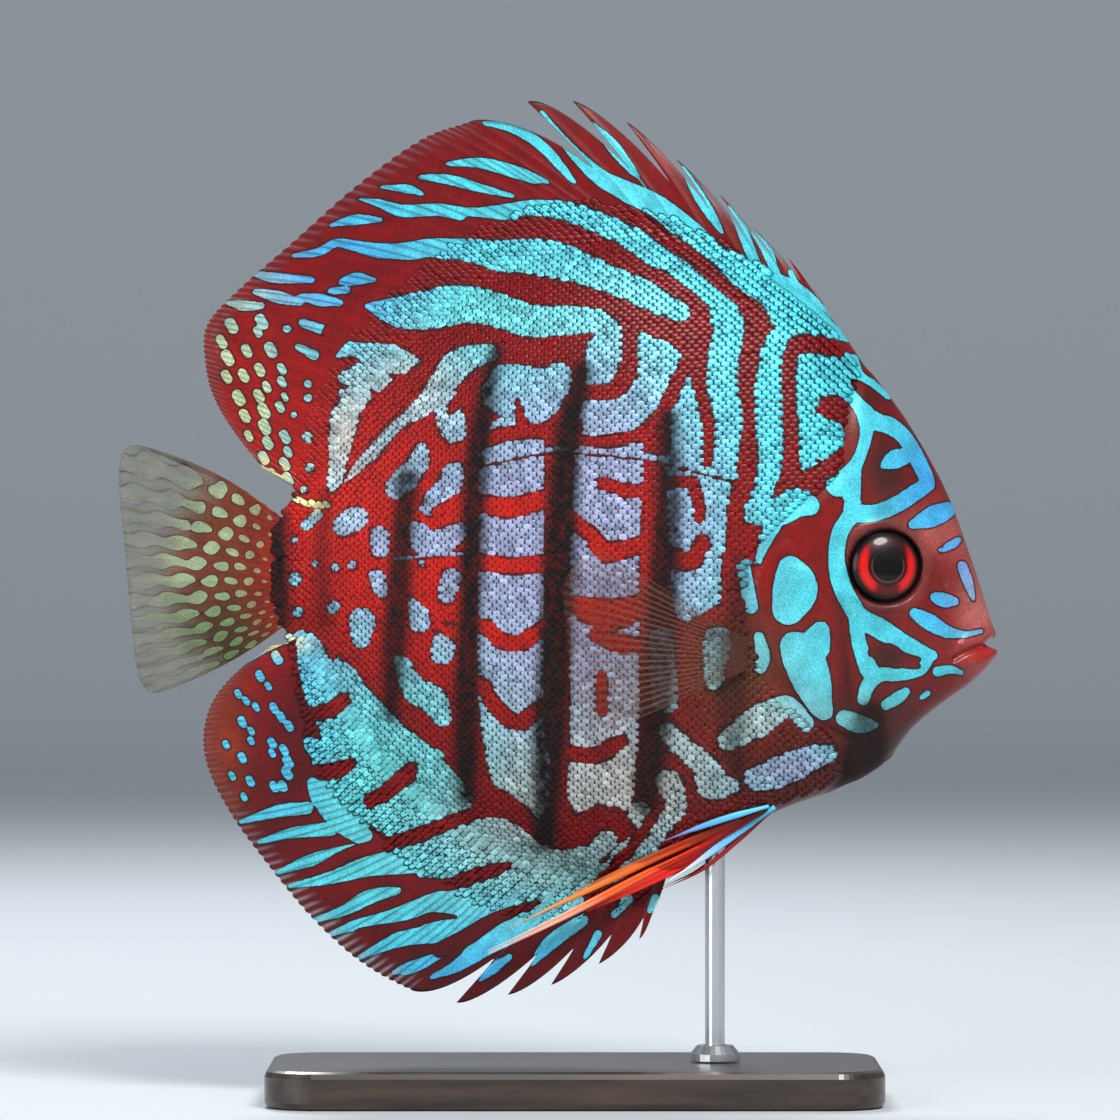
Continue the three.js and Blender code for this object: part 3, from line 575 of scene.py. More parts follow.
def feed(tree, node, inputs):
    """Feeds a node's inputs by name or number: an output is linked to its input, a value is set on it."""
    for key, value in inputs.items():
        if isinstance(value, bpy.types.NodeSocket):
            tree.links.new(value, node.inputs[key])
        else:
            node.inputs[key].default_value = value


def add_node(tree, kind, inputs, output=0, **settings):
    """Adds a shader node with its settings and inputs, and gives back the output asked for."""
    node = tree.nodes.new("ShaderNode" + kind)
    for name, value in settings.items():
        setattr(node, name, value)
    feed(tree, node, inputs)
    return node.outputs[output]


def attribute(tree, name, output="Fac"):
    return add_node(tree, "Attribute", {}, output, attribute_name=name)


def math_node(tree, operation, *values):
    return add_node(tree, "Math", dict(enumerate(values)), operation=operation)


def noise(tree, place, scale, detail):
    return add_node(tree, "TexNoise", {"Scale": scale, "Detail": detail, "Vector": place})


def ramp(tree, value, low, high, to_low=0.0, to_high=1.0):
    """An even step from one number to another as the value goes from low to high."""
    return add_node(tree, "MapRange", {"Value": value, "From Min": low, "From Max": high, "To Min": to_low,
                                       "To Max": to_high}, interpolation_type="SMOOTHSTEP")


def mixed(tree, share, first, second):
    """The first colour, drawn towards the second by the share."""
    return add_node(tree, "Mix", {"Factor": share, 6: first, 7: second}, 2, data_type="RGBA")


def new_material(name, **settings):
    """A material of one Principled shader, with the numbers given, spaces for underscores."""
    material = bpy.data.materials.new(name)
    material.use_nodes = True
    tree = material.node_tree
    surface = tree.nodes["Principled BSDF"]
    feed(tree, surface, {key.replace("_", " "): value for key, value in settings.items()})
    return material, tree, surface


def marked_colour_group():
    """Colour from a marking's edge distance: red beyond 0, bright below it, a thin near-black line just
    on the red side, upright bars multiplied over both, and fine grain on each. Brightness is 1 on bright
    places, and Gloss falls where a bar is."""
    tree = bpy.data.node_groups.new("discus_markings", "ShaderNodeTree")
    for direction, names in (("INPUT", "Mark Float Bar Float Bright Color Red Color Place Vector Ragged Float"),
                             ("OUTPUT", "Colour Color Brightness Float Gloss Float")):
        words = names.split()
        for name, kind in zip(words[::2], words[1::2]):
            tree.interface.new_socket(name, in_out=direction, socket_type="NodeSocket" + kind)
    given, out = tree.nodes.new("NodeGroupInput").outputs, tree.nodes.new("NodeGroupOutput")
    place = given["Place"]
    wander = math_node(tree, "SUBTRACT", noise(tree, place, 900, 3.0), 0.5)
    mark = math_node(tree, "MULTIPLY_ADD", wander, given["Ragged"], given["Mark"])
    grain = ramp(tree, noise(tree, place, 3200, 2.0), 0.25, 0.75, 0.72, 1.22)
    patchy = ramp(tree, noise(tree, place, 260, 3.0), 0.3, 0.7, 0.8, 1.12)
    shade = math_node(tree, "MULTIPLY", grain, patchy)
    shaded_bright, shaded_red = (
        add_node(tree, "VectorMath", {0: given[name], "Scale": shade}, operation="SCALE")
        for name in ("Bright", "Red"))
    is_red = ramp(tree, mark, -0.05, 0.07)
    line = math_node(tree, "MULTIPLY", ramp(tree, mark, -0.06, 0.09), ramp(tree, mark, 0.2, 0.42, 0.8, 0.0))
    worn = ramp(tree, noise(tree, place, 700, 2.0), 0.2, 0.8, 0.86, 1.08)
    bar = math_node(tree, "MULTIPLY", given["Bar"], worn)
    colour = mixed(tree, is_red, shaded_bright, shaded_red)
    colour = mixed(tree, line, colour, (0.006, 0.004, 0.006, 1))
    colour = mixed(tree, bar, colour, (0.007, 0.004, 0.004, 1))
    brightness = math_node(tree, "MULTIPLY", math_node(tree, "SUBTRACT", 1.0, is_red),
                           math_node(tree, "SUBTRACT", 1.0, given["Bar"]))
    feed(tree, out, {"Colour": colour, "Brightness": brightness,
                     "Gloss": math_node(tree, "MULTIPLY_ADD", given["Bar"], -0.9, 1.0)})
    return tree


markings_group = marked_colour_group()
bar_roughness = 0.85
rim_colour = (0.012, 0.02, 0.03, 1)


def fish_material(name, ragged, roughness, coat, metal, bump_scale, bump_height, dark_rim=False, clear=False):
    """Skin coloured by the markings group, with a fine bump: bright places are a little metallic, bars
    are dull, a scale's or a ray's rim is darker, and clear skin's alpha is the vertices' own."""
    material, tree, surface = new_material(name, Specular_IOR_Level=0.18, Coat_Roughness=0.2)
    place = add_node(tree, "TexCoord", {}, "Object")
    group = tree.nodes.new("ShaderNodeGroup")
    group.node_tree = markings_group
    feed(tree, group, {"Mark": attribute(tree, "mark"), "Bar": attribute(tree, "bar"), "Place": place,
                       "Bright": attribute(tree, "bright", "Color"), "Red": attribute(tree, "red", "Color"),
                       "Ragged": ragged})
    colour, brightness, gloss = group.outputs
    if dark_rim:
        rim = ramp(tree, attribute(tree, "rim"), 0.3, 0.9, 0.0, 0.92)
        shown = math_node(tree, "MULTIPLY_ADD", brightness, 0.72, 0.28)
        colour = mixed(tree, math_node(tree, "MULTIPLY", rim, shown), colour, rim_colour)
    bump = add_node(tree, "Bump", {"Height": noise(tree, place, bump_scale, 4), "Distance": bump_height,
                                   "Strength": 1.0})
    feed(tree, surface, {
        "Base Color": colour, "Normal": bump, "Metallic": math_node(tree, "MULTIPLY", brightness, metal),
        "Coat Weight": math_node(tree, "MULTIPLY", gloss, coat),
        "Roughness": math_node(tree, "MULTIPLY_ADD", gloss, roughness - bar_roughness, bar_roughness)})
    if clear:
        feed(tree, surface, {"Alpha": attribute(tree, "solid")})
    return material


# The skin's mesh runs in rings from the flank's middle out to the edge, (x, z) = middle + s (edge -
# middle) with s = sin(t) so that they lie closer near the edge, and the two flanks meet there.
skin_around, skin_rings = 462, 100
around = np.arange(skin_around) / skin_around
rim_points = curve(body_edge, around, closed=True)
ring_share = np.sin(np.linspace(0, np.pi / 2, skin_rings + 1))[1:, None]
grid_x, grid_z = (body_centre[k] + ring_share * (rim_points[:, k] - body_centre[k]) for k in (0, 1))
scaled = scaled_share(grid_x, grid_z)
thick = half_thickness(grid_x, grid_z) - scale_depth * scaled + head_relief(grid_x, grid_z) \
    * smooth(0.9999, 0.985, ring_share)
thick = np.maximum(thick, 0.03)
thick[-1] = np.maximum(rim_half * fin_share(grid_x[-1], grid_z[-1]) - 0.15, 0.02)
inward = 1 - 0.005 * scaled
grid_x, grid_z = (body_centre[k] + inward * (grid - body_centre[k]) for k, grid in ((0, grid_x), (1, grid_z)))
middle = float(half_thickness(*body_centre)) - scale_depth
right = np.stack([grid_x, -thick, grid_z], -1).reshape(-1, 3)
left = (right * [1, -1, 1])[::-1]
skin_points = np.vstack([[[body_centre[0], -middle, body_centre[1]]], right, left,
                         [[body_centre[0], middle, body_centre[1]]]])
last = len(skin_points) - 1  # the left middle; a left point is last minus its right twin
ring = 1 + closed_grid(skin_rings, skin_around)
first = 1 + np.arange(skin_around)
outer = first + (skin_rings - 1) * skin_around
quads = np.vstack([ring[:, ::-1], last - ring, np.stack(
    [outer, last - outer, last - np.roll(outer, -1), np.roll(outer, -1)], -1)])
caps = np.stack([np.zeros(skin_around, int), first, np.roll(first, -1)], -1)
skin_triangles = np.vstack([quads[:, [0, 1, 2]], quads[:, [0, 2, 3]], caps, last - caps[:, ::-1]])
skin = mesh_from("skin", skin_points, skin_triangles)
paint(skin, skin_points[:, 0], skin_points[:, 2], np.sign(skin_points[:, 1]))
skin.data.materials.append(fish_material("wet_skin", 0.3, 0.36, 0.25, 0.12, 2600, 0.00005))
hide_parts("head", "gill_cover_right", "gill_cover_left", "upper_jaw", "lower_jaw", "trunk",
            "tail_stalk")
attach(skin, "root")

# The eyes: each a ball set in its socket, with a clear bulging cornea over a bright red iris and a
# round black pupil. They look out along the head's slope.
eye_profile_rings, eye_turns = 44, 72
cornea_height, eye_depth, eye_seat = 2.0, 3.2, 0.95  # mm above, below and under the skin's surface
slope_step = 0.5
eye_lean = np.array([
    half_thickness(eye_at[0] - slope_step, eye_at[1]) - half_thickness(eye_at[0] + slope_step, eye_at[1]),
    2 * slope_step,
    half_thickness(eye_at[0], eye_at[1] - slope_step) - half_thickness(eye_at[0], eye_at[1] + slope_step)])
eye_lean = eye_lean / np.linalg.norm(eye_lean)
# The iris: a share of the radius and the colour there.
iris = [(0.0, (0.001, 0.001, 0.001)), (0.43, (0.001, 0.001, 0.001)), (0.455, (0.10, 0.035, 0.03)),
        (0.475, (0.10, 0.02, 0.015)), (0.50, (0.004, 0.002, 0.002)), (0.555, (0.05, 0.002, 0.002)),
        (0.60, (0.52, 0.006, 0.005)), (0.72, (0.62, 0.008, 0.006)), (0.80, (0.36, 0.005, 0.004)),
        (0.86, (0.03, 0.003, 0.003)), (0.90, (0.002, 0.002, 0.002)), (1.0, (0.004, 0.003, 0.003))]


def eye_material():
    """Iris bands by the share of the radius: black pupil, a thin pale ring, red, a black outer ring,
    and a dark upright band through the iris above and below the pupil."""
    material, tree, surface = new_material("eye", Roughness=0.3, Specular_IOR_Level=0.15, Coat_Weight=0.28,
                                           Coat_Roughness=0.05)
    bands = tree.nodes.new("ShaderNodeValToRGB")
    elements = bands.color_ramp.elements
    elements[0].position, elements[1].position = iris[0][0], iris[-1][0]
    for position, _ in iris[1:-1]:
        elements.new(position)
    for element, (_, colour) in zip(elements, iris):
        element.color = (*colour, 1)
    feed(tree, bands, {"Fac": attribute(tree, "ring")})
    feed(tree, surface, {"Base Color": mixed(tree, attribute(tree, "shade"), bands.outputs[0],
                                             (0.004, 0.003, 0.003, 1))})
    return material


eye_look = eye_material()
for eye_node, eye_name, side in (("eye_right", "right_eyeball", -1), ("eye_left", "left_eyeball", 1)):
    turn = np.linspace(np.pi / 2, 0, eye_profile_rings)
    radius = np.concatenate([eye_radius * np.cos(turn), [eye_radius * 0.8, 0.0]])
    height = np.concatenate([cornea_height * np.sin(turn), [-eye_depth, -eye_depth]])
    angle = np.arange(eye_turns) / eye_turns * 2 * np.pi
    axis = eye_lean * np.array([1, side, 1])
    up = np.array([0.0, 0.0, 1.0]) - axis[2] * axis
    up /= np.linalg.norm(up)
    along = np.cross(up, axis) * side
    seat = np.array([eye_at[0], side * (float(half_thickness(*eye_at)) - eye_seat), eye_at[1]])
    points = seat + radius[:, None, None] * (np.cos(angle)[None, :, None] * along
                                             + np.sin(angle)[None, :, None] * up) \
        + height[:, None, None] * axis
    eye = mesh_from(eye_name, points.reshape(-1, 3),
                    closed_grid(len(radius), eye_turns)[:, ::1 if side < 0 else -1])
    ring_value = np.minimum(radius / eye_radius, 1)
    ring_value[-2:] = 1
    give(eye, "ring", np.repeat(ring_value, eye_turns))
    sideways = radius[:, None] * np.cos(angle) / eye_radius
    upward = radius[:, None] * np.sin(angle) / eye_radius
    band = smooth(0.7, 0.46, np.abs(sideways + 0.02)) * smooth(0.02, 0.3, upward)
    band = np.maximum(band, 0.9 * smooth(0.48, 0.25, np.abs(sideways)) * smooth(-0.44, -0.56, upward))
    give(eye, "shade", (0.95 * band).ravel())
    eye.data.materials.append(eye_look)
    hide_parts(eye_node)
    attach(eye, "root")

# The scales: thin overlapping plates rooted in the skin, free edges to the rear, larger on the
# shoulder and breast, small along the tail and on the roots of the long fins. Each is a closed flake.
flake_length, flake_width, flake_thick = 1.75, 1.28, 0.07  # in the local spacing
scale_front, scale_rear = 1.36, 1.1  # spacing in mm at x = 45 and at x = -45
sheath_width = 8.5  # mm of fin that small scales climb
row_spacing, column_spacing = 1.1, 0.56  # in the local spacing
unwrap_margin, patch_size = 0.02, 0.0017
flake_points = 17


def sheath(x, z):
    """The mm of scales that climb the fins: width * side * back, full behind, and none ahead of the
    first spines or on the tail stalk."""
    above = z > body_centre[1]
    front, rear = np.where(above, 34.0, 24.0), np.where(above, 0.0, 6.0)
    side = np.clip((front - x) / (front - rear), 0, 1)
    back = smooth(-46, -40, x)
    return np.where(above, 0.85, 1.15) * sheath_width * side * back


def outside_edge(x, z):
    """The distance from the body's edge, above 0 outside it: the least one to its short stretches. A
    place is inside when a line from it crosses the edge an odd number of times."""
    d = np.full(x.shape, 1e3)
    inside = np.zeros(x.shape, bool)
    for a, b in zip(edge_points, np.roll(edge_points, -1, axis=0)):
        dx, dz = b - a
        t = np.clip(((x - a[0]) * dx + (z - a[1]) * dz) / (dx * dx + dz * dz), 0, 1)
        d = np.minimum(d, np.hypot(x - a[0] - t * dx, z - a[1] - t * dz))
        crosses = ((a[1] > z) != (b[1] > z)) & (x < dx * (z - a[1]) / (b[1] - a[1] + 1e-12) + a[0])
        inside ^= crosses
    return np.where(inside, -d, d)


# The surface that scales stand on: the skin, and outside its edge the fin's flat side.
map_step, fin_side_at = 0.75, 0.42
map_x = np.arange(-60, 78.01, map_step)
map_z = np.arange(20, 170.01, map_step)
mx, mz = np.meshgrid(map_x, map_z, indexing="ij")
map_out = outside_edge(mx, mz)
map_height = np.where(map_out < 0, half_thickness(mx, mz) - scale_depth * smooth(0.2, -1.5, map_out),
                      fin_side_at)
for _ in range(3):
    for axis in (0, 1):
        map_height = (np.roll(map_height, 1, axis) + 2 * map_height + np.roll(map_height, -1, axis)) / 4
map_height = np.maximum(map_height, np.where(map_out < 0, 0, fin_side_at))
map_slope_x, map_slope_z = np.gradient(map_height, map_step)
map_arc = np.cumsum(np.sqrt(1 + np.minimum(map_slope_z, 2.5) ** 2), axis=1) * map_step
centre_row = np.argmin(np.abs(map_z - body_centre[1]))
map_arc -= map_arc[:, centre_row:centre_row + 1]


def on_map(values, x, z):
    """Reads a map at places between its points, weighting the four nearest."""
    fx = np.clip((x - map_x[0]) / map_step, 0, len(map_x) - 1.001)
    fz = np.clip((z - map_z[0]) / map_step, 0, len(map_z) - 1.001)
    i, j = fx.astype(int), fz.astype(int)
    u, v = fx - i, fz - j
    return ((1 - u) * (1 - v) * values[i, j] + u * (1 - v) * values[i + 1, j]
            + (1 - u) * v * values[i, j + 1] + u * v * values[i + 1, j + 1])


def scale_roots():
    """Roots in upright columns set half a scale apart, spaced by a(x): s = (j + i mod 2 / 2) * 1.1 a(x)
    along the skin, so the rows draw together towards the tail. Each root is x, z, s, a."""
    roots = []
    x, i = 64.0, 0
    while x > -47:
        a = scale_rear + (scale_front - scale_rear) * np.clip((x + 45) / 90, 0, 1)
        arc = map_arc[int((x - map_x[0]) / map_step)]
        j = np.arange(np.floor(arc[0] / a), np.ceil(arc[-1] / a))
        s = (j + 0.5 * (i % 2)) * a * row_spacing
        s = s[(s > arc[0]) & (s < arc[-1])]
        z = np.interp(s, arc, map_z)
        roots.append(np.column_stack([np.full(len(z), x), z, s, np.full(len(z), a)]))
        x -= a * column_spacing
        i += 1
    return np.vstack(roots)


roots = scale_roots()
rx, rz, rs, ra = roots.T
out = on_map(map_out, rx, rz)
ahead = np.interp(-rz, -bare_z, bare_x) - rx
keep = (out < sheath(rx, rz) * (0.86 + 0.14 * rng.random(len(rx)))) & (ahead > 0.3)
keep &= ~((out > -1.3) & (fin_share(rx, rz) < 0.6))
shrink = (0.55 + 0.45 * smooth(0.0, 4.5, ahead)) * (1 - 0.5 * smooth(-3.0, 7.0, out))
roots, out, shrink = roots[keep], out[keep], shrink[keep]
rx, rz, rs, ra = roots.T

# One flake: four rows of four points, arched across by 1 - (2u)^2 and rising by v towards its free
# end, with its root and sides sunk, closed by a fan to a point under its middle.
flake_u, flake_v = np.meshgrid([-0.5, -0.17, 0.17, 0.5], [0.0, 0.45, 0.8, 1.0])
row_width = np.array([[0.5], [1.0], [0.86], [0.46]])
flake = np.stack([flake_u * row_width * flake_width, flake_v * flake_length,
                  0.05 + 0.085 * (1 - (2 * flake_u) ** 2) + 0.09 * flake_v - 0.05 * flake_v**3], -1)
flake[0, :, 2] = -0.12
flake[:, [0, 3], 2] -= 0.05
flake = flake.reshape(-1, 3)
corner = np.array([4 * i + j for i in range(3) for j in range(3)])[:, None]
border = np.array([0, 4, 8, 12, 13, 14, 15, 11, 7, 3, 2, 1])
flake_faces = np.vstack([corner + [0, 1, 5], corner + [0, 5, 4],
                         np.stack([np.full(12, 16), border, np.roll(border, -1)], -1)])
flake = np.vstack([flake, flake[border].mean(0) - [0, 0, flake_thick]])
rim_value = np.ones(flake_points)
rim_value[[5, 6]], rim_value[[9, 10]], rim_value[:4], rim_value[[4, 7]] = 0.0, 0.25, 0.3, 0.8

scale_look = fish_material("scale", 0.12, 0.42, 0.12, 0.25, 6000, 0.00001, dark_rim=True)
fin_lie = np.radians(32)
arc_span = np.ptp(rs)
for part_name, side, wanted in (
        ("scales_right_front", -1, rx >= 2), ("scales_right_rear", -1, rx < 2),
        ("scales_left_front", 1, rx >= 2), ("scales_left_rear", 1, rx < 2)):
    x, z, s, a = (v[wanted] for v in (rx, rz, rs, ra))
    o, small = out[wanted], shrink[wanted]
    n = len(x)
    jitter = rng.normal(0, 1, (n, 4))
    x, z = x + 0.04 * jitter[:, 0], z + 0.04 * jitter[:, 1]
    h = on_map(map_height, x, z)
    normal = np.column_stack([-on_map(map_slope_x, x, z), np.ones(n), -on_map(map_slope_z, x, z)])
    flat = smooth(-2.0, 2.5, o)[:, None]
    normal = normal * (1 - flat) + np.array([0, 1.0, 0]) * flat
    normal /= np.linalg.norm(normal, axis=1)[:, None]
    # rearwards on the flank, and turned along the rays on the fins' roots
    lift = fin_lie * smooth(-7, 2, o) * np.where(z > body_centre[1], 1, -1) + 0.05 * jitter[:, 2]
    back = np.column_stack([-np.cos(lift), np.zeros(n), np.sin(lift)])
    back -= normal * np.sum(back * normal, 1)[:, None]
    back /= np.linalg.norm(back, axis=1)[:, None]
    wide = np.cross(normal, back)
    for way in (normal, back, wide):
        way[:, 1] *= side
    size = a * (1 + 0.05 * jitter[:, 3])
    root = np.column_stack([x, side * h, z])
    local = flake[None] * size[:, None, None]
    local[..., 0] *= (0.5 + 0.5 * small)[:, None]
    local[..., 2] *= small[:, None]
    points = root[:, None] + local[..., :1] * wide[:, None] + local[..., 1:2] * back[:, None] \
        + local[..., 2:] * normal[:, None]
    faces = (flake_faces[None] + flake_points * np.arange(n)[:, None, None]).reshape(-1, 3)
    piece = mesh_from(part_name, points.reshape(-1, 3), faces[:, ::-1] if side > 0 else faces)
    # a flake takes the markings near its own middle, so that it is mostly of one colour
    seen = root + back * (size * 1.15)[:, None]
    look_at = seen[:, None] + 0.45 * (points - seen[:, None])
    paint(piece, look_at[..., 0].ravel(), look_at[..., 2].ravel(), np.full(flake_points * n, side),
          np.repeat(np.clip(1 + 0.17 * jitter[:, 3], 0.6, 1.5), flake_points))
    give(piece, "rim", np.tile(rim_value, n))
    # each flake's patch lies at its root's place on an unwrap of the skin, one flank beside the other
    u0 = (x + 60) / 150 * 0.46 + (0.02 if side < 0 else 0.52)
    v0 = unwrap_margin + (s - rs.min()) / arc_span * (1 - 2 * unwrap_margin)
    patch = np.column_stack([u0, v0])[:, None] + (flake[None, :, :2] - flake[:, :2].mean(0)) * patch_size
    layer = piece.data.uv_layers.new(name="OFBake")
    corners = np.empty(len(piece.data.loops), np.int32)
    piece.data.loops.foreach_get("vertex_index", corners)
    layer.data.foreach_set("uv", patch.reshape(-1, 2)[corners].astype(np.float32).ravel())
    piece.data.materials.append(scale_look)
    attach(piece, "root")

# The middle fins: a spine or a soft, jointed ray every few millimetres, with skin stretched between
# them. The dorsal and anal fins start with spines whose tips stand free, and both end in soft rays.
dorsal_rays = np.array([
    [46.4, 132.2, 43.6, 137.7], [43, 135.4, 39.4, 142.8], [39.5, 137.9, 33.4, 148],
    [35.8, 139.8, 27.8, 153.6], [31.1, 142.2, 20.5, 159.6], [26.3, 144.3, 12, 166],
    [21.5, 145.7, 2.9, 169.6], [16.8, 146.4, -4.8, 169.6], [12, 146.5, -14.6, 166.2],
    [5.6, 146, -23.2, 163], [-4.6, 143.3, -34.3, 155], [-13.9, 138, -45, 145.5],
    [-22.4, 131, -54.1, 137.5], [-29.2, 122.7, -59.4, 131.5], [-34.3, 115.4, -59.7, 125.3],
    [-37.8, 108.6, -58.4, 119.7], [-39.9, 103.2, -55.2, 114], [-40.6, 101.2, -50, 107.3]])
anal_rays = np.array([
    [18.2, 37.4, 16.6, 32.6], [16.1, 37.4, 14.1, 27.5], [13.4, 37.5, 7.3, 23.3],
    [10, 37.9, -0.8, 19.7], [5.9, 38.2, -8.1, 18], [1.5, 38.9, -16.8, 16.6], [-2.9, 40.3, -24.6, 18.7],
    [-8.8, 42.8, -33.4, 23.5], [-15.1, 46.2, -41.6, 30.9], [-21.2, 50.4, -48.7, 39.4],
    [-26.6, 55.2, -55, 47.9], [-31.4, 61.1, -59.1, 55.7], [-35.1, 66.6, -60.1, 62],
    [-38.5, 72.7, -58.4, 67.9], [-40.9, 76.7, -54.1, 73], [-41.9, 78.4, -48.4, 77.2]])
fin_root_half, fin_edge_half, fin_tip_half, fin_sunk = 0.42, 0.16, 0.04, 2.2
soft_rays_per_step, rounded_end = 3.5, 0.09


def fin_grid(rays, share, along, droop):
    """Places on a fin: from a ray's root to its tip, both on smooth curves, bowed by b * 4 t (1 - t) of
    its length, with b from droop's first value to its second. Gives x, z and the ray's length."""
    root = curve(rays[:, :2], share)
    tip = curve(rays[:, 2:], share)
    span = tip - root
    length = np.linalg.norm(span, axis=-1)
    root = root - span / length[..., None] * fin_sunk
    span = tip - root
    bow = (droop[0] + (droop[1] - droop[0]) * share) * 4 * along * (1 - along)
    x = root[..., 0] + span[..., 0] * along + span[..., 1] * bow
    z = root[..., 1] + span[..., 1] * along - span[..., 0] * bow
    return x, z, length


def closed_blade(loops):
    """The points and triangles of a blade or strand given as rows of closed loops: quads between the
    loops, a fan to the middle of each end one, and all turned so that the volume, the sum of
    a . (b x c) / 6, is above 0."""
    rows, around = loops.shape[:2]
    points = np.vstack([loops.reshape(-1, 3), loops[0].mean(0), loops[-1].mean(0)])
    quads = closed_grid(rows, around)
    start, count = np.arange(around), rows * around
    end = start + count - around
    triangles = np.vstack([
        quads[:, [0, 1, 2]], quads[:, [0, 2, 3]],
        np.column_stack([np.full(around, count), np.roll(start, -1), start]),
        np.column_stack([np.full(around, count + 1), end, np.roll(end, -1)])])
    a, b, c = (points[triangles[:, k]] for k in range(3))
    return points, triangles if (a * np.cross(b, c)).sum() > 0 else triangles[:, ::-1]


def two_sided(x, y, z, half):
    """The closed loops of a blade half mm thick each way about y."""
    return np.concatenate([np.stack([x, y - half, z], -1), np.stack([x, y + half, z], -1)[:, ::-1]], 1)


def both(values):
    """The values of all the blade's points, from those on its near side's grid."""
    values = np.concatenate([values, values[:, ::-1]], 1)
    values = values.reshape(-1, *values.shape[2:])
    return np.concatenate([values, values[:1], values[-1:]])


def middle_fin(name, nodes, rays, spines, sway, droop, columns_per_ray, steps, notch=0.0, ray_height=0.11,
               fringe=0.014, corner=0.0):
    """A closed blade over the rays. Each ray stands out as a ridge, h = r exp(-(p / w)^2) with p the
    phase across it. The margin sinks by notch * (1 - p)^2 behind each free spine tip, by a fine fringe
    between soft rays, and by corner * (1 - a quarter circle) at the fin's two ends."""
    columns = (len(rays) - 1) * columns_per_ray + 1
    share, t = np.linspace(0, 1, columns), np.linspace(0, 1, steps)
    place = share * (len(rays) - 1)
    spiny_part = place < spines - 1
    spiny = smooth(spines - 0.6, spines - 1.4, place)
    phase = np.where(spiny_part, place, (place - spines + 1) * soft_rays_per_step)
    off = np.abs(phase - np.round(phase))
    behind = place % 1
    cut = notch * smooth(0.03, 0.15, behind) * (1 - behind) ** 2
    reach = np.where(spiny_part, 1 - cut, 1.0)
    reach = reach - (1 - spiny) * fringe * (1 - np.abs(2 * (2 * phase % 1) - 1)) ** 2
    from_end = np.clip(1 - np.minimum(share, 1 - share) / rounded_end, 0, 1)
    reach = reach - corner * (1 - np.sqrt(1 - 0.99 * from_end**2))
    share_grid, t_grid = np.meshgrid(share, t, indexing="ij")
    off, spiny, phase = off[:, None], spiny[:, None], phase[:, None]
    along = t_grid * reach[:, None]
    x, z, length = fin_grid(rays, share_grid, along, droop)
    ridge = np.exp(-((off / np.where(spiny_part, 0.13, 0.2)[:, None]) ** 2))
    joints = 0.35 * (1 - spiny) * (np.cos(along * length / 0.55 * np.pi * 2) > 0.93)
    tall = np.where(spiny > 0.5, 0.2, ray_height) * (1 - 0.55 * along)
    half = fin_root_half + (fin_edge_half - fin_root_half) * along
    half = half + ridge * tall * (1 - joints) * smooth(0.02, 0.15, along)
    half[:, -1] = fin_tip_half
    loops = two_sided(x, sway(along, share_grid), z, half)
    points, triangles = closed_blade(loops)
    piece = mesh_from(name, points, triangles)
    side = np.concatenate([np.tile(np.repeat([-1.0, 1.0], steps), columns), [-1.0, -1.0]])
    paint(piece, points[:, 0], points[:, 2], side)
    for node in nodes:
        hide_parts(node)
    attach(piece, "root")
    twice = np.abs(2 * phase - np.round(2 * phase))
    lines = np.exp(-((twice / 0.2) ** 2)) * (1 - 0.6 * spiny)
    margin = spiny * smooth(0.93, 1.0, t_grid)
    give(piece, "rim", both(0.28 + 0.42 * lines * smooth(0.0, 0.1, along) + 0.5 * margin))
    return piece, along, share_grid, t_grid, ridge, spiny, np.exp(-((twice / 0.42) ** 2))


def dorsal_sway(along, share):
    return 1.3 * along * along * np.sin(share * 5.2 + 0.5)


def anal_sway(along, share):
    return -1.2 * along * along * np.sin(share * 4.6 + 0.6)


fin_look = fish_material("fin", 0.35, 0.42, 0.15, 0.1, 3000, 0.00003, dark_rim=True, clear=True)
for fin_name, fin_rays, fin_spines, fin_sway, fin_droop, fin_notch in (
        ("dorsal_fin", dorsal_rays, 9, dorsal_sway, (0.03, 0.03), 0.66),
        ("anal_fin", anal_rays, 7, anal_sway, (-0.03, -0.03), 0.46)):
    fin, along, share_grid, t_grid, ridge, spiny, fine = middle_fin(
        fin_name, (fin_name + "_spiny", fin_name + "_soft"), fin_rays, fin_spines, fin_sway, fin_droop, 30, 62,
        fin_notch)
    # the skin clears between the rays towards the margin, and most at the fin's rear
    solid = 1 - (1 - fine) * 0.8 * smooth(0.86, 0.97, t_grid) * (1 - spiny)
    rear = smooth(0.8, 0.99, share_grid) * smooth(0.72, 1.0, t_grid)
    solid = np.minimum(solid, 1 - 0.5 * rear * (1 - 0.6 * fine))
    if fin_name == "dorsal_fin":
        solid = np.minimum(solid, 1 - 0.6 * spiny * smooth(0.5, 0.8, t_grid) * (1 - ridge)
                           * smooth(0.45, 0.2, np.abs(share_grid - 0.16) / 0.25))
    give(fin, "solid", both(solid))
    # a dark line along the margin between the spines
    bars = np.empty(len(fin.data.vertices), np.float32)
    fin.data.attributes["bar"].data.foreach_get("value", bars)
    give(fin, "bar", np.maximum(bars, both(0.8 * spiny * smooth(0.95, 1.0, t_grid))))
    fin.data.materials.append(fin_look)

# The tail fin: soft branching rays under thin skin, with rows of pale spots on an orange-brown net
# near the root, and a clear margin. It sweeps a little to the fish's left.
tail_rays = np.array([
    [-46, 97.4, -74.5, 111.9], [-47, 95.1, -74.7, 103.6], [-47.7, 91.7, -74, 96.4],
    [-47.8, 88.3, -73.3, 89.1], [-47.4, 85.2, -72.6, 81.5], [-46.7, 83, -71.8, 74.4],
    [-45.6, 81.6, -70.3, 68.4]])
tail_ray_count, spot_turns, spot_reach = 12, 5.8, 9.0
tail_clear = srgb(124, 122, 104)
spot_colour, spot_low, spot_root = srgb(142, 158, 124), srgb(98, 120, 76), srgb(158, 92, 48)
net_colour, net_low, net_root = srgb(106, 46, 20), srgb(64, 44, 24), srgb(132, 20, 8)


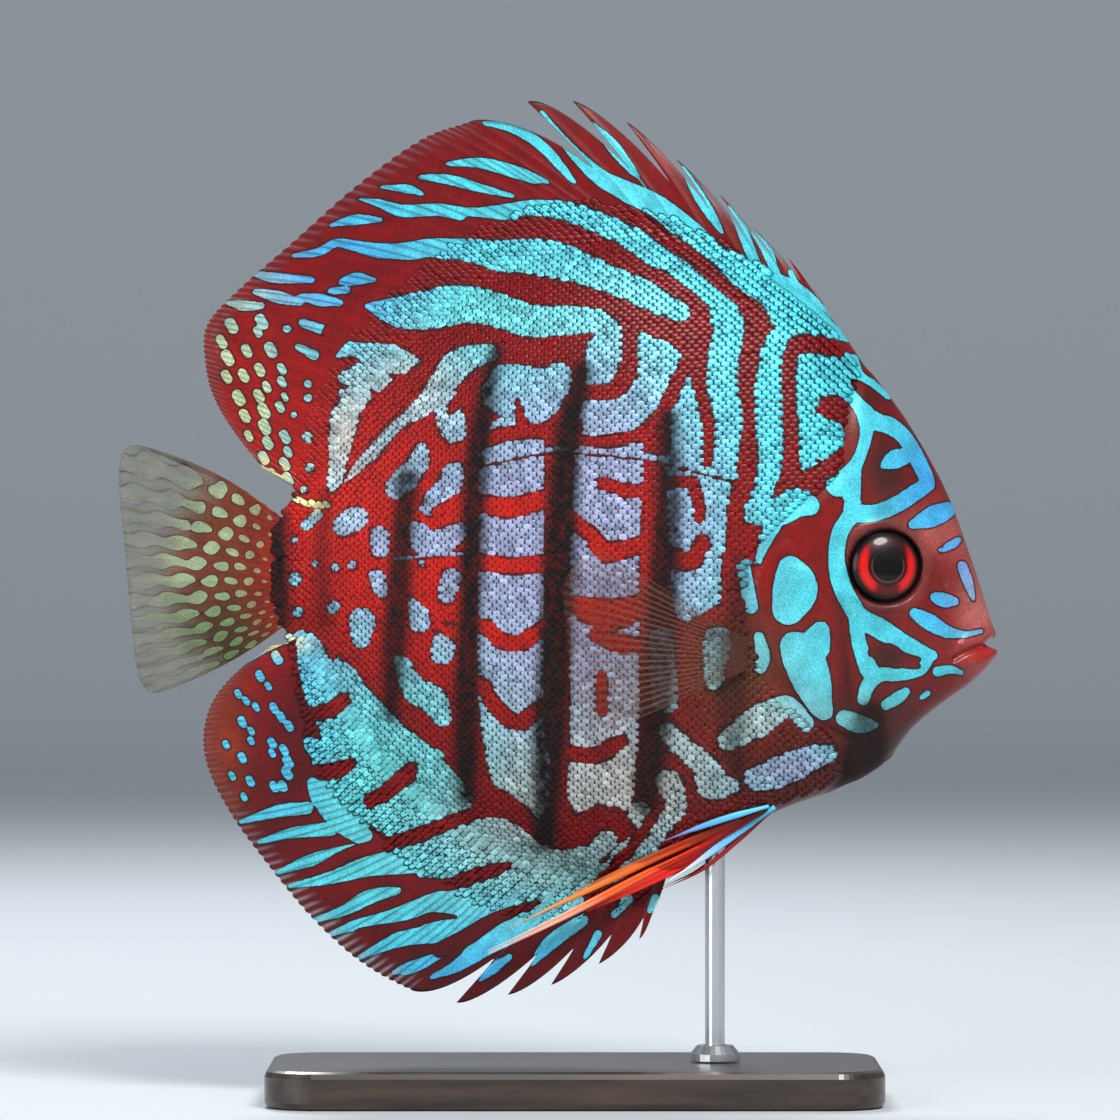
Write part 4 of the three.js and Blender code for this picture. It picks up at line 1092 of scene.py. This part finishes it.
def tail_sway(along, share):
    return 5 * along * along + 0.8 * along * np.sin(share * 6.3)


def tail_colour(colour, low_colour, root_colour, clear_colour):
    """The colour, drawn towards that of the fin's lower half and then its root's, and all of it from the
    clear margin's by the net's strength."""
    colour = colour + both(smooth(0.4, 0.85, share_grid))[:, None] * (low_colour - colour)
    colour = colour + both(smooth(0.4, 0.0, along))[:, None] * (root_colour - colour)
    return clear_colour + both(net)[:, None] * (colour - clear_colour)


tail, along, share_grid, t_grid, ridge, spiny, fine = middle_fin(
    "tail_fin_rays", ("tail_fin",), tail_rays, 1, tail_sway, (0.075, -0.055), 56, 70, ray_height=0.09,
    fringe=0.006, corner=0.08)
# Spots sit between the rays in rows that bend a little, closer together towards the root: the column
# of a place is n ln(1 + its distance from the root / 9 mm), half a column on in every other row.
tail_length = fin_grid(tail_rays, share_grid, along, (0, 0))[2]
row = share_grid**1.2 * tail_ray_count + 0.1 * np.sin(along * 30 + share_grid * 40)
column = spot_turns * np.log(1 + along * tail_length / spot_reach) + 0.5 * (np.floor(row) % 2)
spot = np.hypot((row % 1 - 0.5) / 0.31, (column % 1 - 0.5) / 0.36 * smooth(0.78, 0.5, along)) - 1
spot_mark = np.clip((spot + 0.55 * smooth(0.36, 0.04, along)) * 2.2, -1, 1)
reach = 0.62 + 0.12 * np.cos((share_grid - 0.55) * 5) + 0.03 * np.cos(share_grid * tail_ray_count * 2 * np.pi)
net = smooth(reach + 0.2, reach - 0.16, along)
give(tail, "mark", both(np.where(along < 0.02, 1.0, spot_mark)))
give(tail, "bar", both(0.9 * smooth(0.1, 0.03, along) * (np.abs(share_grid - 0.5) < 0.48)))
give(tail, "bright", tail_colour(spot_colour, spot_low, spot_root, tail_clear))
give(tail, "red", tail_colour(net_colour, net_low, net_root, tail_clear * 0.85))
give(tail, "solid", both(0.3 + 0.62 * net + 0.35 * ridge * (1 - net)))
tail.data.materials.append(fish_material("tail", 0.3, 0.45, 0.1, 0.0, 3000, 0.00003, clear=True))

# The breast fins: one on each flank behind the gill cover, a fan of fine rays under skin so clear that
# the flank shows through it.
breast_rays = np.array([
    [32.4, 78.2, 5.6, 94.4], [32.2, 77, 1, 87.5], [32, 75.6, -0.2, 79],
    [32, 74.4, 2.2, 69.6], [32.2, 73.4, 8.7, 62.8]])
breast_ray_count, breast_skin_half, breast_edge_half, breast_ray_rise = 22, 0.06, 0.03, 0.12
breast_root_out, breast_swing = 0.75, 2.6  # mm off the flank at the root, and more towards the tip
breast_ray_colour, breast_skin_colour = srgb(110, 66, 46), srgb(92, 50, 40)
breast_look, tree, surface = new_material("clear_fin", Roughness=0.45, Specular_IOR_Level=0.3)
feed(tree, surface, {"Base Color": attribute(tree, "tint", "Color"), "Alpha": attribute(tree, "solid")})
# Each ray is a ridge, exp(-(p / 0.12)^2) with p the phase across it, and forks towards its tip.
share_grid, t_grid = np.meshgrid(np.linspace(0, 1, 211), np.linspace(0, 1, 40), indexing="ij")
phase = share_grid * (breast_ray_count - 1)
off = np.abs(phase - np.round(phase))
fork = np.exp(-(((off - 0.22 * smooth(0.3, 1, t_grid)) / 0.07) ** 2))
ridge = np.minimum(np.exp(-((off / 0.12) ** 2)) + 0.6 * smooth(0.35, 0.6, t_grid) * fork, 1)
along = t_grid * (0.97 + 0.03 * np.sin(share_grid * 9))
root, tip = curve(breast_rays[:, :2], share_grid), curve(breast_rays[:, 2:], share_grid)
x, z = np.moveaxis(root + (tip - root) * along[..., None], -1, 0)
out_from_middle = float(half_thickness(32.0, 75.6)) + breast_root_out + breast_swing * np.sin(along * 1.9)
half = breast_skin_half + breast_ray_rise * ridge * (1 - 0.6 * along)
half[:, -1] = breast_edge_half
solid = 0.1 - 0.05 * t_grid + (0.5 - 0.3 * t_grid) * ridge + 0.25 * smooth(0.15, 0.0, t_grid)
tint = breast_skin_colour + ridge[..., None] * (breast_ray_colour - breast_skin_colour)
for breast_node, breast_name, side in (("breast_fin_right", "breast_fan_right", -1),
                                       ("breast_fin_left", "breast_fan_left", 1)):
    fin = mesh_from(breast_name, *closed_blade(two_sided(x, side * out_from_middle, z, half)))
    give(fin, "solid", both(solid))
    give(fin, "tint", both(tint))
    fin.data.materials.append(breast_look)
    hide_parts(breast_node)
    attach(fin, "root")

# The belly fins: a stout blue-white front spine, then red rays that lie together and run out in
# pale threads.
belly_spread, belly_y, belly_length = 4.4, 1.6, 55.0
belly_strands = (
    # the line in the photo's pixels, half width mm, colours at root, middle and tip
    ((774, 806, 735, 833, 700, 859, 668, 880), 0.72, (70, 196, 230), (120, 186, 240), (240, 240, 246)),
    ((768, 805, 728, 816, 692, 828, 664, 839), 0.55, (84, 200, 230), (80, 160, 226), (104, 130, 176)),
    ((770, 812, 735, 842, 700, 870, 662, 888), 0.4, (110, 14, 10), (140, 18, 12), (96, 30, 20)),
    ((768, 808, 730, 828, 696, 848, 660, 866), 0.9, (60, 10, 10), (180, 16, 6), (214, 34, 8)),
    ((750, 816, 705, 846, 655, 872, 596, 900), 1.35, (96, 8, 8), (214, 26, 4), (226, 80, 26)),
    ((740, 818, 690, 840, 640, 862, 575, 892), 0.95, (120, 30, 14), (196, 60, 14), (226, 140, 84)),
    ((735, 826, 690, 858, 640, 884, 585, 908), 1.1, (120, 8, 6), (206, 24, 6), (170, 40, 16)),
    ((700, 846, 640, 876, 570, 912, 488, 951), 0.85, (214, 30, 6), (232, 96, 40), (246, 220, 200)),
    ((690, 842, 620, 874, 560, 902, 508, 927), 0.55, (206, 40, 10), (220, 120, 44), (214, 160, 104)))


strand_steps, strand_sides, strand_thick = 46, 8, 0.28
wide_strand, thread_share, thread_gap = 0.8, 0.36, 0.42  # a strand wider than this is five threads
off_body = 0.55
belly_at = (36.8, 49.9)
belly_look, tree, surface = new_material("belly_fin", Roughness=0.4, Specular_IOR_Level=0.3)
feed(tree, surface, {"Base Color": attribute(tree, "tint", "Color")})


def belly_thread(side, path, half, aside, light, number, tints):
    """One thread: an ellipse carried along the path, thinner towards its end, aside mm of its middle at
    the root, and out from the fish's middle by y + spread * u^0.8, with u its share of the length, but
    always clear of the body. Gives its loops and their points' colours."""
    t = np.linspace(0, 1, strand_steps)
    line = curve(np.array(path, float).reshape(-1, 2), t)
    line = np.column_stack(from_photo(line[:, 0], line[:, 1]))
    u = np.hypot(line[:, 0] - belly_at[0], line[:, 1] - belly_at[1]) / belly_length
    way = np.gradient(line, axis=0)
    way /= np.linalg.norm(way, axis=1)[:, None]
    spread = aside * (0.3 + 0.9 * t - 0.7 * t * t)
    x, z = line[:, 0] - way[:, 1] * spread, line[:, 1] + way[:, 0] * spread
    on_body = half_thickness(x, z) * smooth(0.0, 1.2, -outside_edge(x, z)) + off_body
    y = np.maximum(belly_y + belly_spread * u**0.8, on_body) + (off_body if number < 2 else 0.0) + 0.03 * number
    flat = half * (0.55 + 0.45 * smooth(0, 0.3, t)) * (1 - 0.9 * smooth(0.4, 1.0, t))
    thick = strand_thick * (1 - 0.7 * t)
    turn = np.arange(strand_sides) / strand_sides * 2 * np.pi
    across = flat[:, None] * np.cos(turn)
    loops = np.stack([x[:, None] - way[:, 1:] * across, side * y[:, None] + thick[:, None] * np.sin(turn),
                      z[:, None] + way[:, :1] * across], -1)
    palette = np.array([srgb(*colour) * light for colour in tints])
    tint = np.stack([np.interp(t, [0, 0.5, 1], palette[:, k]) for k in range(3)], -1)
    tint = np.repeat(tint, strand_sides, 0)
    return loops, np.vstack([tint, tint[:1], tint[-1:]])


for belly_node, belly_name, side in (("belly_fin_right", "belly_rays_right", -1),
                                     ("belly_fin_left", "belly_rays_left", 1)):
    threads = []
    for number, (path, half, *tints) in enumerate(belly_strands):
        if half < wide_strand:
            threads.append(belly_thread(side, path, half, 0.0, 1.0, number, tints))
        else:
            threads += [belly_thread(side, path, half * thread_share, half * k * thread_gap,
                                     0.7 + 0.24 * ((k * 7 + number) % 3), number, tints) for k in range(-2, 3)]
    points, triangles = zip(*(closed_blade(loops) for loops, _ in threads))
    starts = np.cumsum([0] + [len(p) for p in points[:-1]])
    fin = mesh_from(belly_name, np.vstack(points),
                    np.vstack([three + start for three, start in zip(triangles, starts)]))
    give(fin, "tint", np.vstack([tint for _, tint in threads]))
    fin.data.materials.append(belly_look)
    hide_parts(belly_node)
    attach(fin, "root")

# The display stand: a flat lacquered wooden base, a steel rod up into the belly and a turned steel
# ferrule round the rod's foot. The parts are the CAD's own, so only their finishes are made here.
def wood_material():
    """Dark stained wood: grain drawn out along the base's length."""
    material, tree, surface = new_material("dark_wood", Roughness=0.38, Coat_Weight=0.4, Coat_Roughness=0.15)
    place = add_node(tree, "Mapping", {"Vector": add_node(tree, "TexCoord", {}, "Object"),
                                       "Scale": (14, 160, 160)})
    grain = tree.nodes.new("ShaderNodeValToRGB")
    feed(tree, grain, {"Fac": noise(tree, place, 3.0, 8)})
    for element, at, colour in zip(grain.color_ramp.elements, (0.35, 0.68),
                                   ((0.012, 0.007, 0.005, 1), (0.052, 0.027, 0.017, 1))):
        element.position, element.color = at, colour
    feed(tree, surface, {"Base Color": grain.outputs[0]})
    return material


steel_look = new_material("steel", Base_Color=(0.62, 0.63, 0.65, 1), Metallic=1.0, Roughness=0.28)[0]
for stand_name, look in (("stand_base", wood_material()), ("stand_ferrule", steel_look),
                         ("stand_rod", steel_look)):
    stand_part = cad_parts[stand_name]
    stand_part.data.materials.clear()
    stand_part.data.materials.append(look)
    stand_part.data.polygons.foreach_set("use_smooth", np.zeros(len(stand_part.data.polygons), bool))

# The stage: a plain pale floor that rises into a plain backdrop through a quarter circle, and soft
# studio light. Its sizes are in metres.
stage_half, stage_front, stage_back, stage_rise = 4.0, -3.0, 1.9, 3.5
sweep_radius = 0.6
angle = np.linspace(0, np.pi / 2, 24)
profile = np.vstack([[stage_front, 0.0],
                     np.column_stack([stage_back + sweep_radius * np.sin(angle),
                                      sweep_radius * (1 - np.cos(angle))]),
                     [stage_back + sweep_radius, stage_rise]])
sweep_points = np.array([[x, y, z] for y, z in profile for x in (-stage_half, stage_half)])
sweep_faces = np.array([[2 * k, 2 * k + 1, 2 * k + 3, 2 * k + 2] for k in range(len(profile) - 1)])
floor = mesh_from("floor", sweep_points * 1000, sweep_faces)
floor.data.materials.append(new_material("pale_floor", Base_Color=(0.53, 0.56, 0.59, 1), Roughness=0.7)[0])


def area_light(name, at, aim, size, power, colour):
    """A round soft lamp, turned from its place to what it lights."""
    light = bpy.data.lights.new(name, "AREA")
    light.shape, light.size, light.energy, light.color = "DISK", size, power, colour
    lamp = bpy.data.objects.new(name, light)
    bpy.context.scene.collection.objects.link(lamp)
    lamp.location = at
    lamp.rotation_euler = (Vector(aim) - Vector(at)).to_track_quat("-Z", "Y").to_euler()


area_light("key", (0.35, -0.85, 0.95), (0, 0, 0.09), 0.45, 17, (1.0, 0.97, 0.93))
area_light("fill", (-0.9, -0.8, 0.35), (0, 0, 0.09), 0.8, 6, (0.92, 0.96, 1.0))
area_light("rim", (-0.2, 0.7, 0.8), (0, 0, 0.1), 0.4, 7, (0.95, 0.98, 1.0))
world = bpy.data.worlds.new("studio")
world.use_nodes = True
feed(world.node_tree, world.node_tree.nodes["Background"], {"Color": (0.75, 0.82, 0.9, 1), "Strength": 0.45})
bpy.context.scene.world = world
bpy.context.scene.view_settings.view_transform = "Standard"

# The camera stands level with the photo's middle, square to the fish's right side, and takes in the
# same square as the photo.
camera_distance, sensor, frame_px = 1.2, 36, 1120
camera = bpy.data.cameras.new("camera")
camera.sensor_width = sensor
camera.lens = sensor * camera_distance / (frame_px * mm_per_px * 0.001)
camera_object = bpy.data.objects.new("camera", camera)
bpy.context.scene.collection.objects.link(camera_object)
aim_x, aim_z = from_photo(frame_px / 2, frame_px / 2)
camera_object.location = (aim_x * 0.001, -camera_distance, aim_z * 0.001)
camera_object.rotation_euler = (math.pi / 2, 0, 0)
bpy.context.scene.camera = camera_object
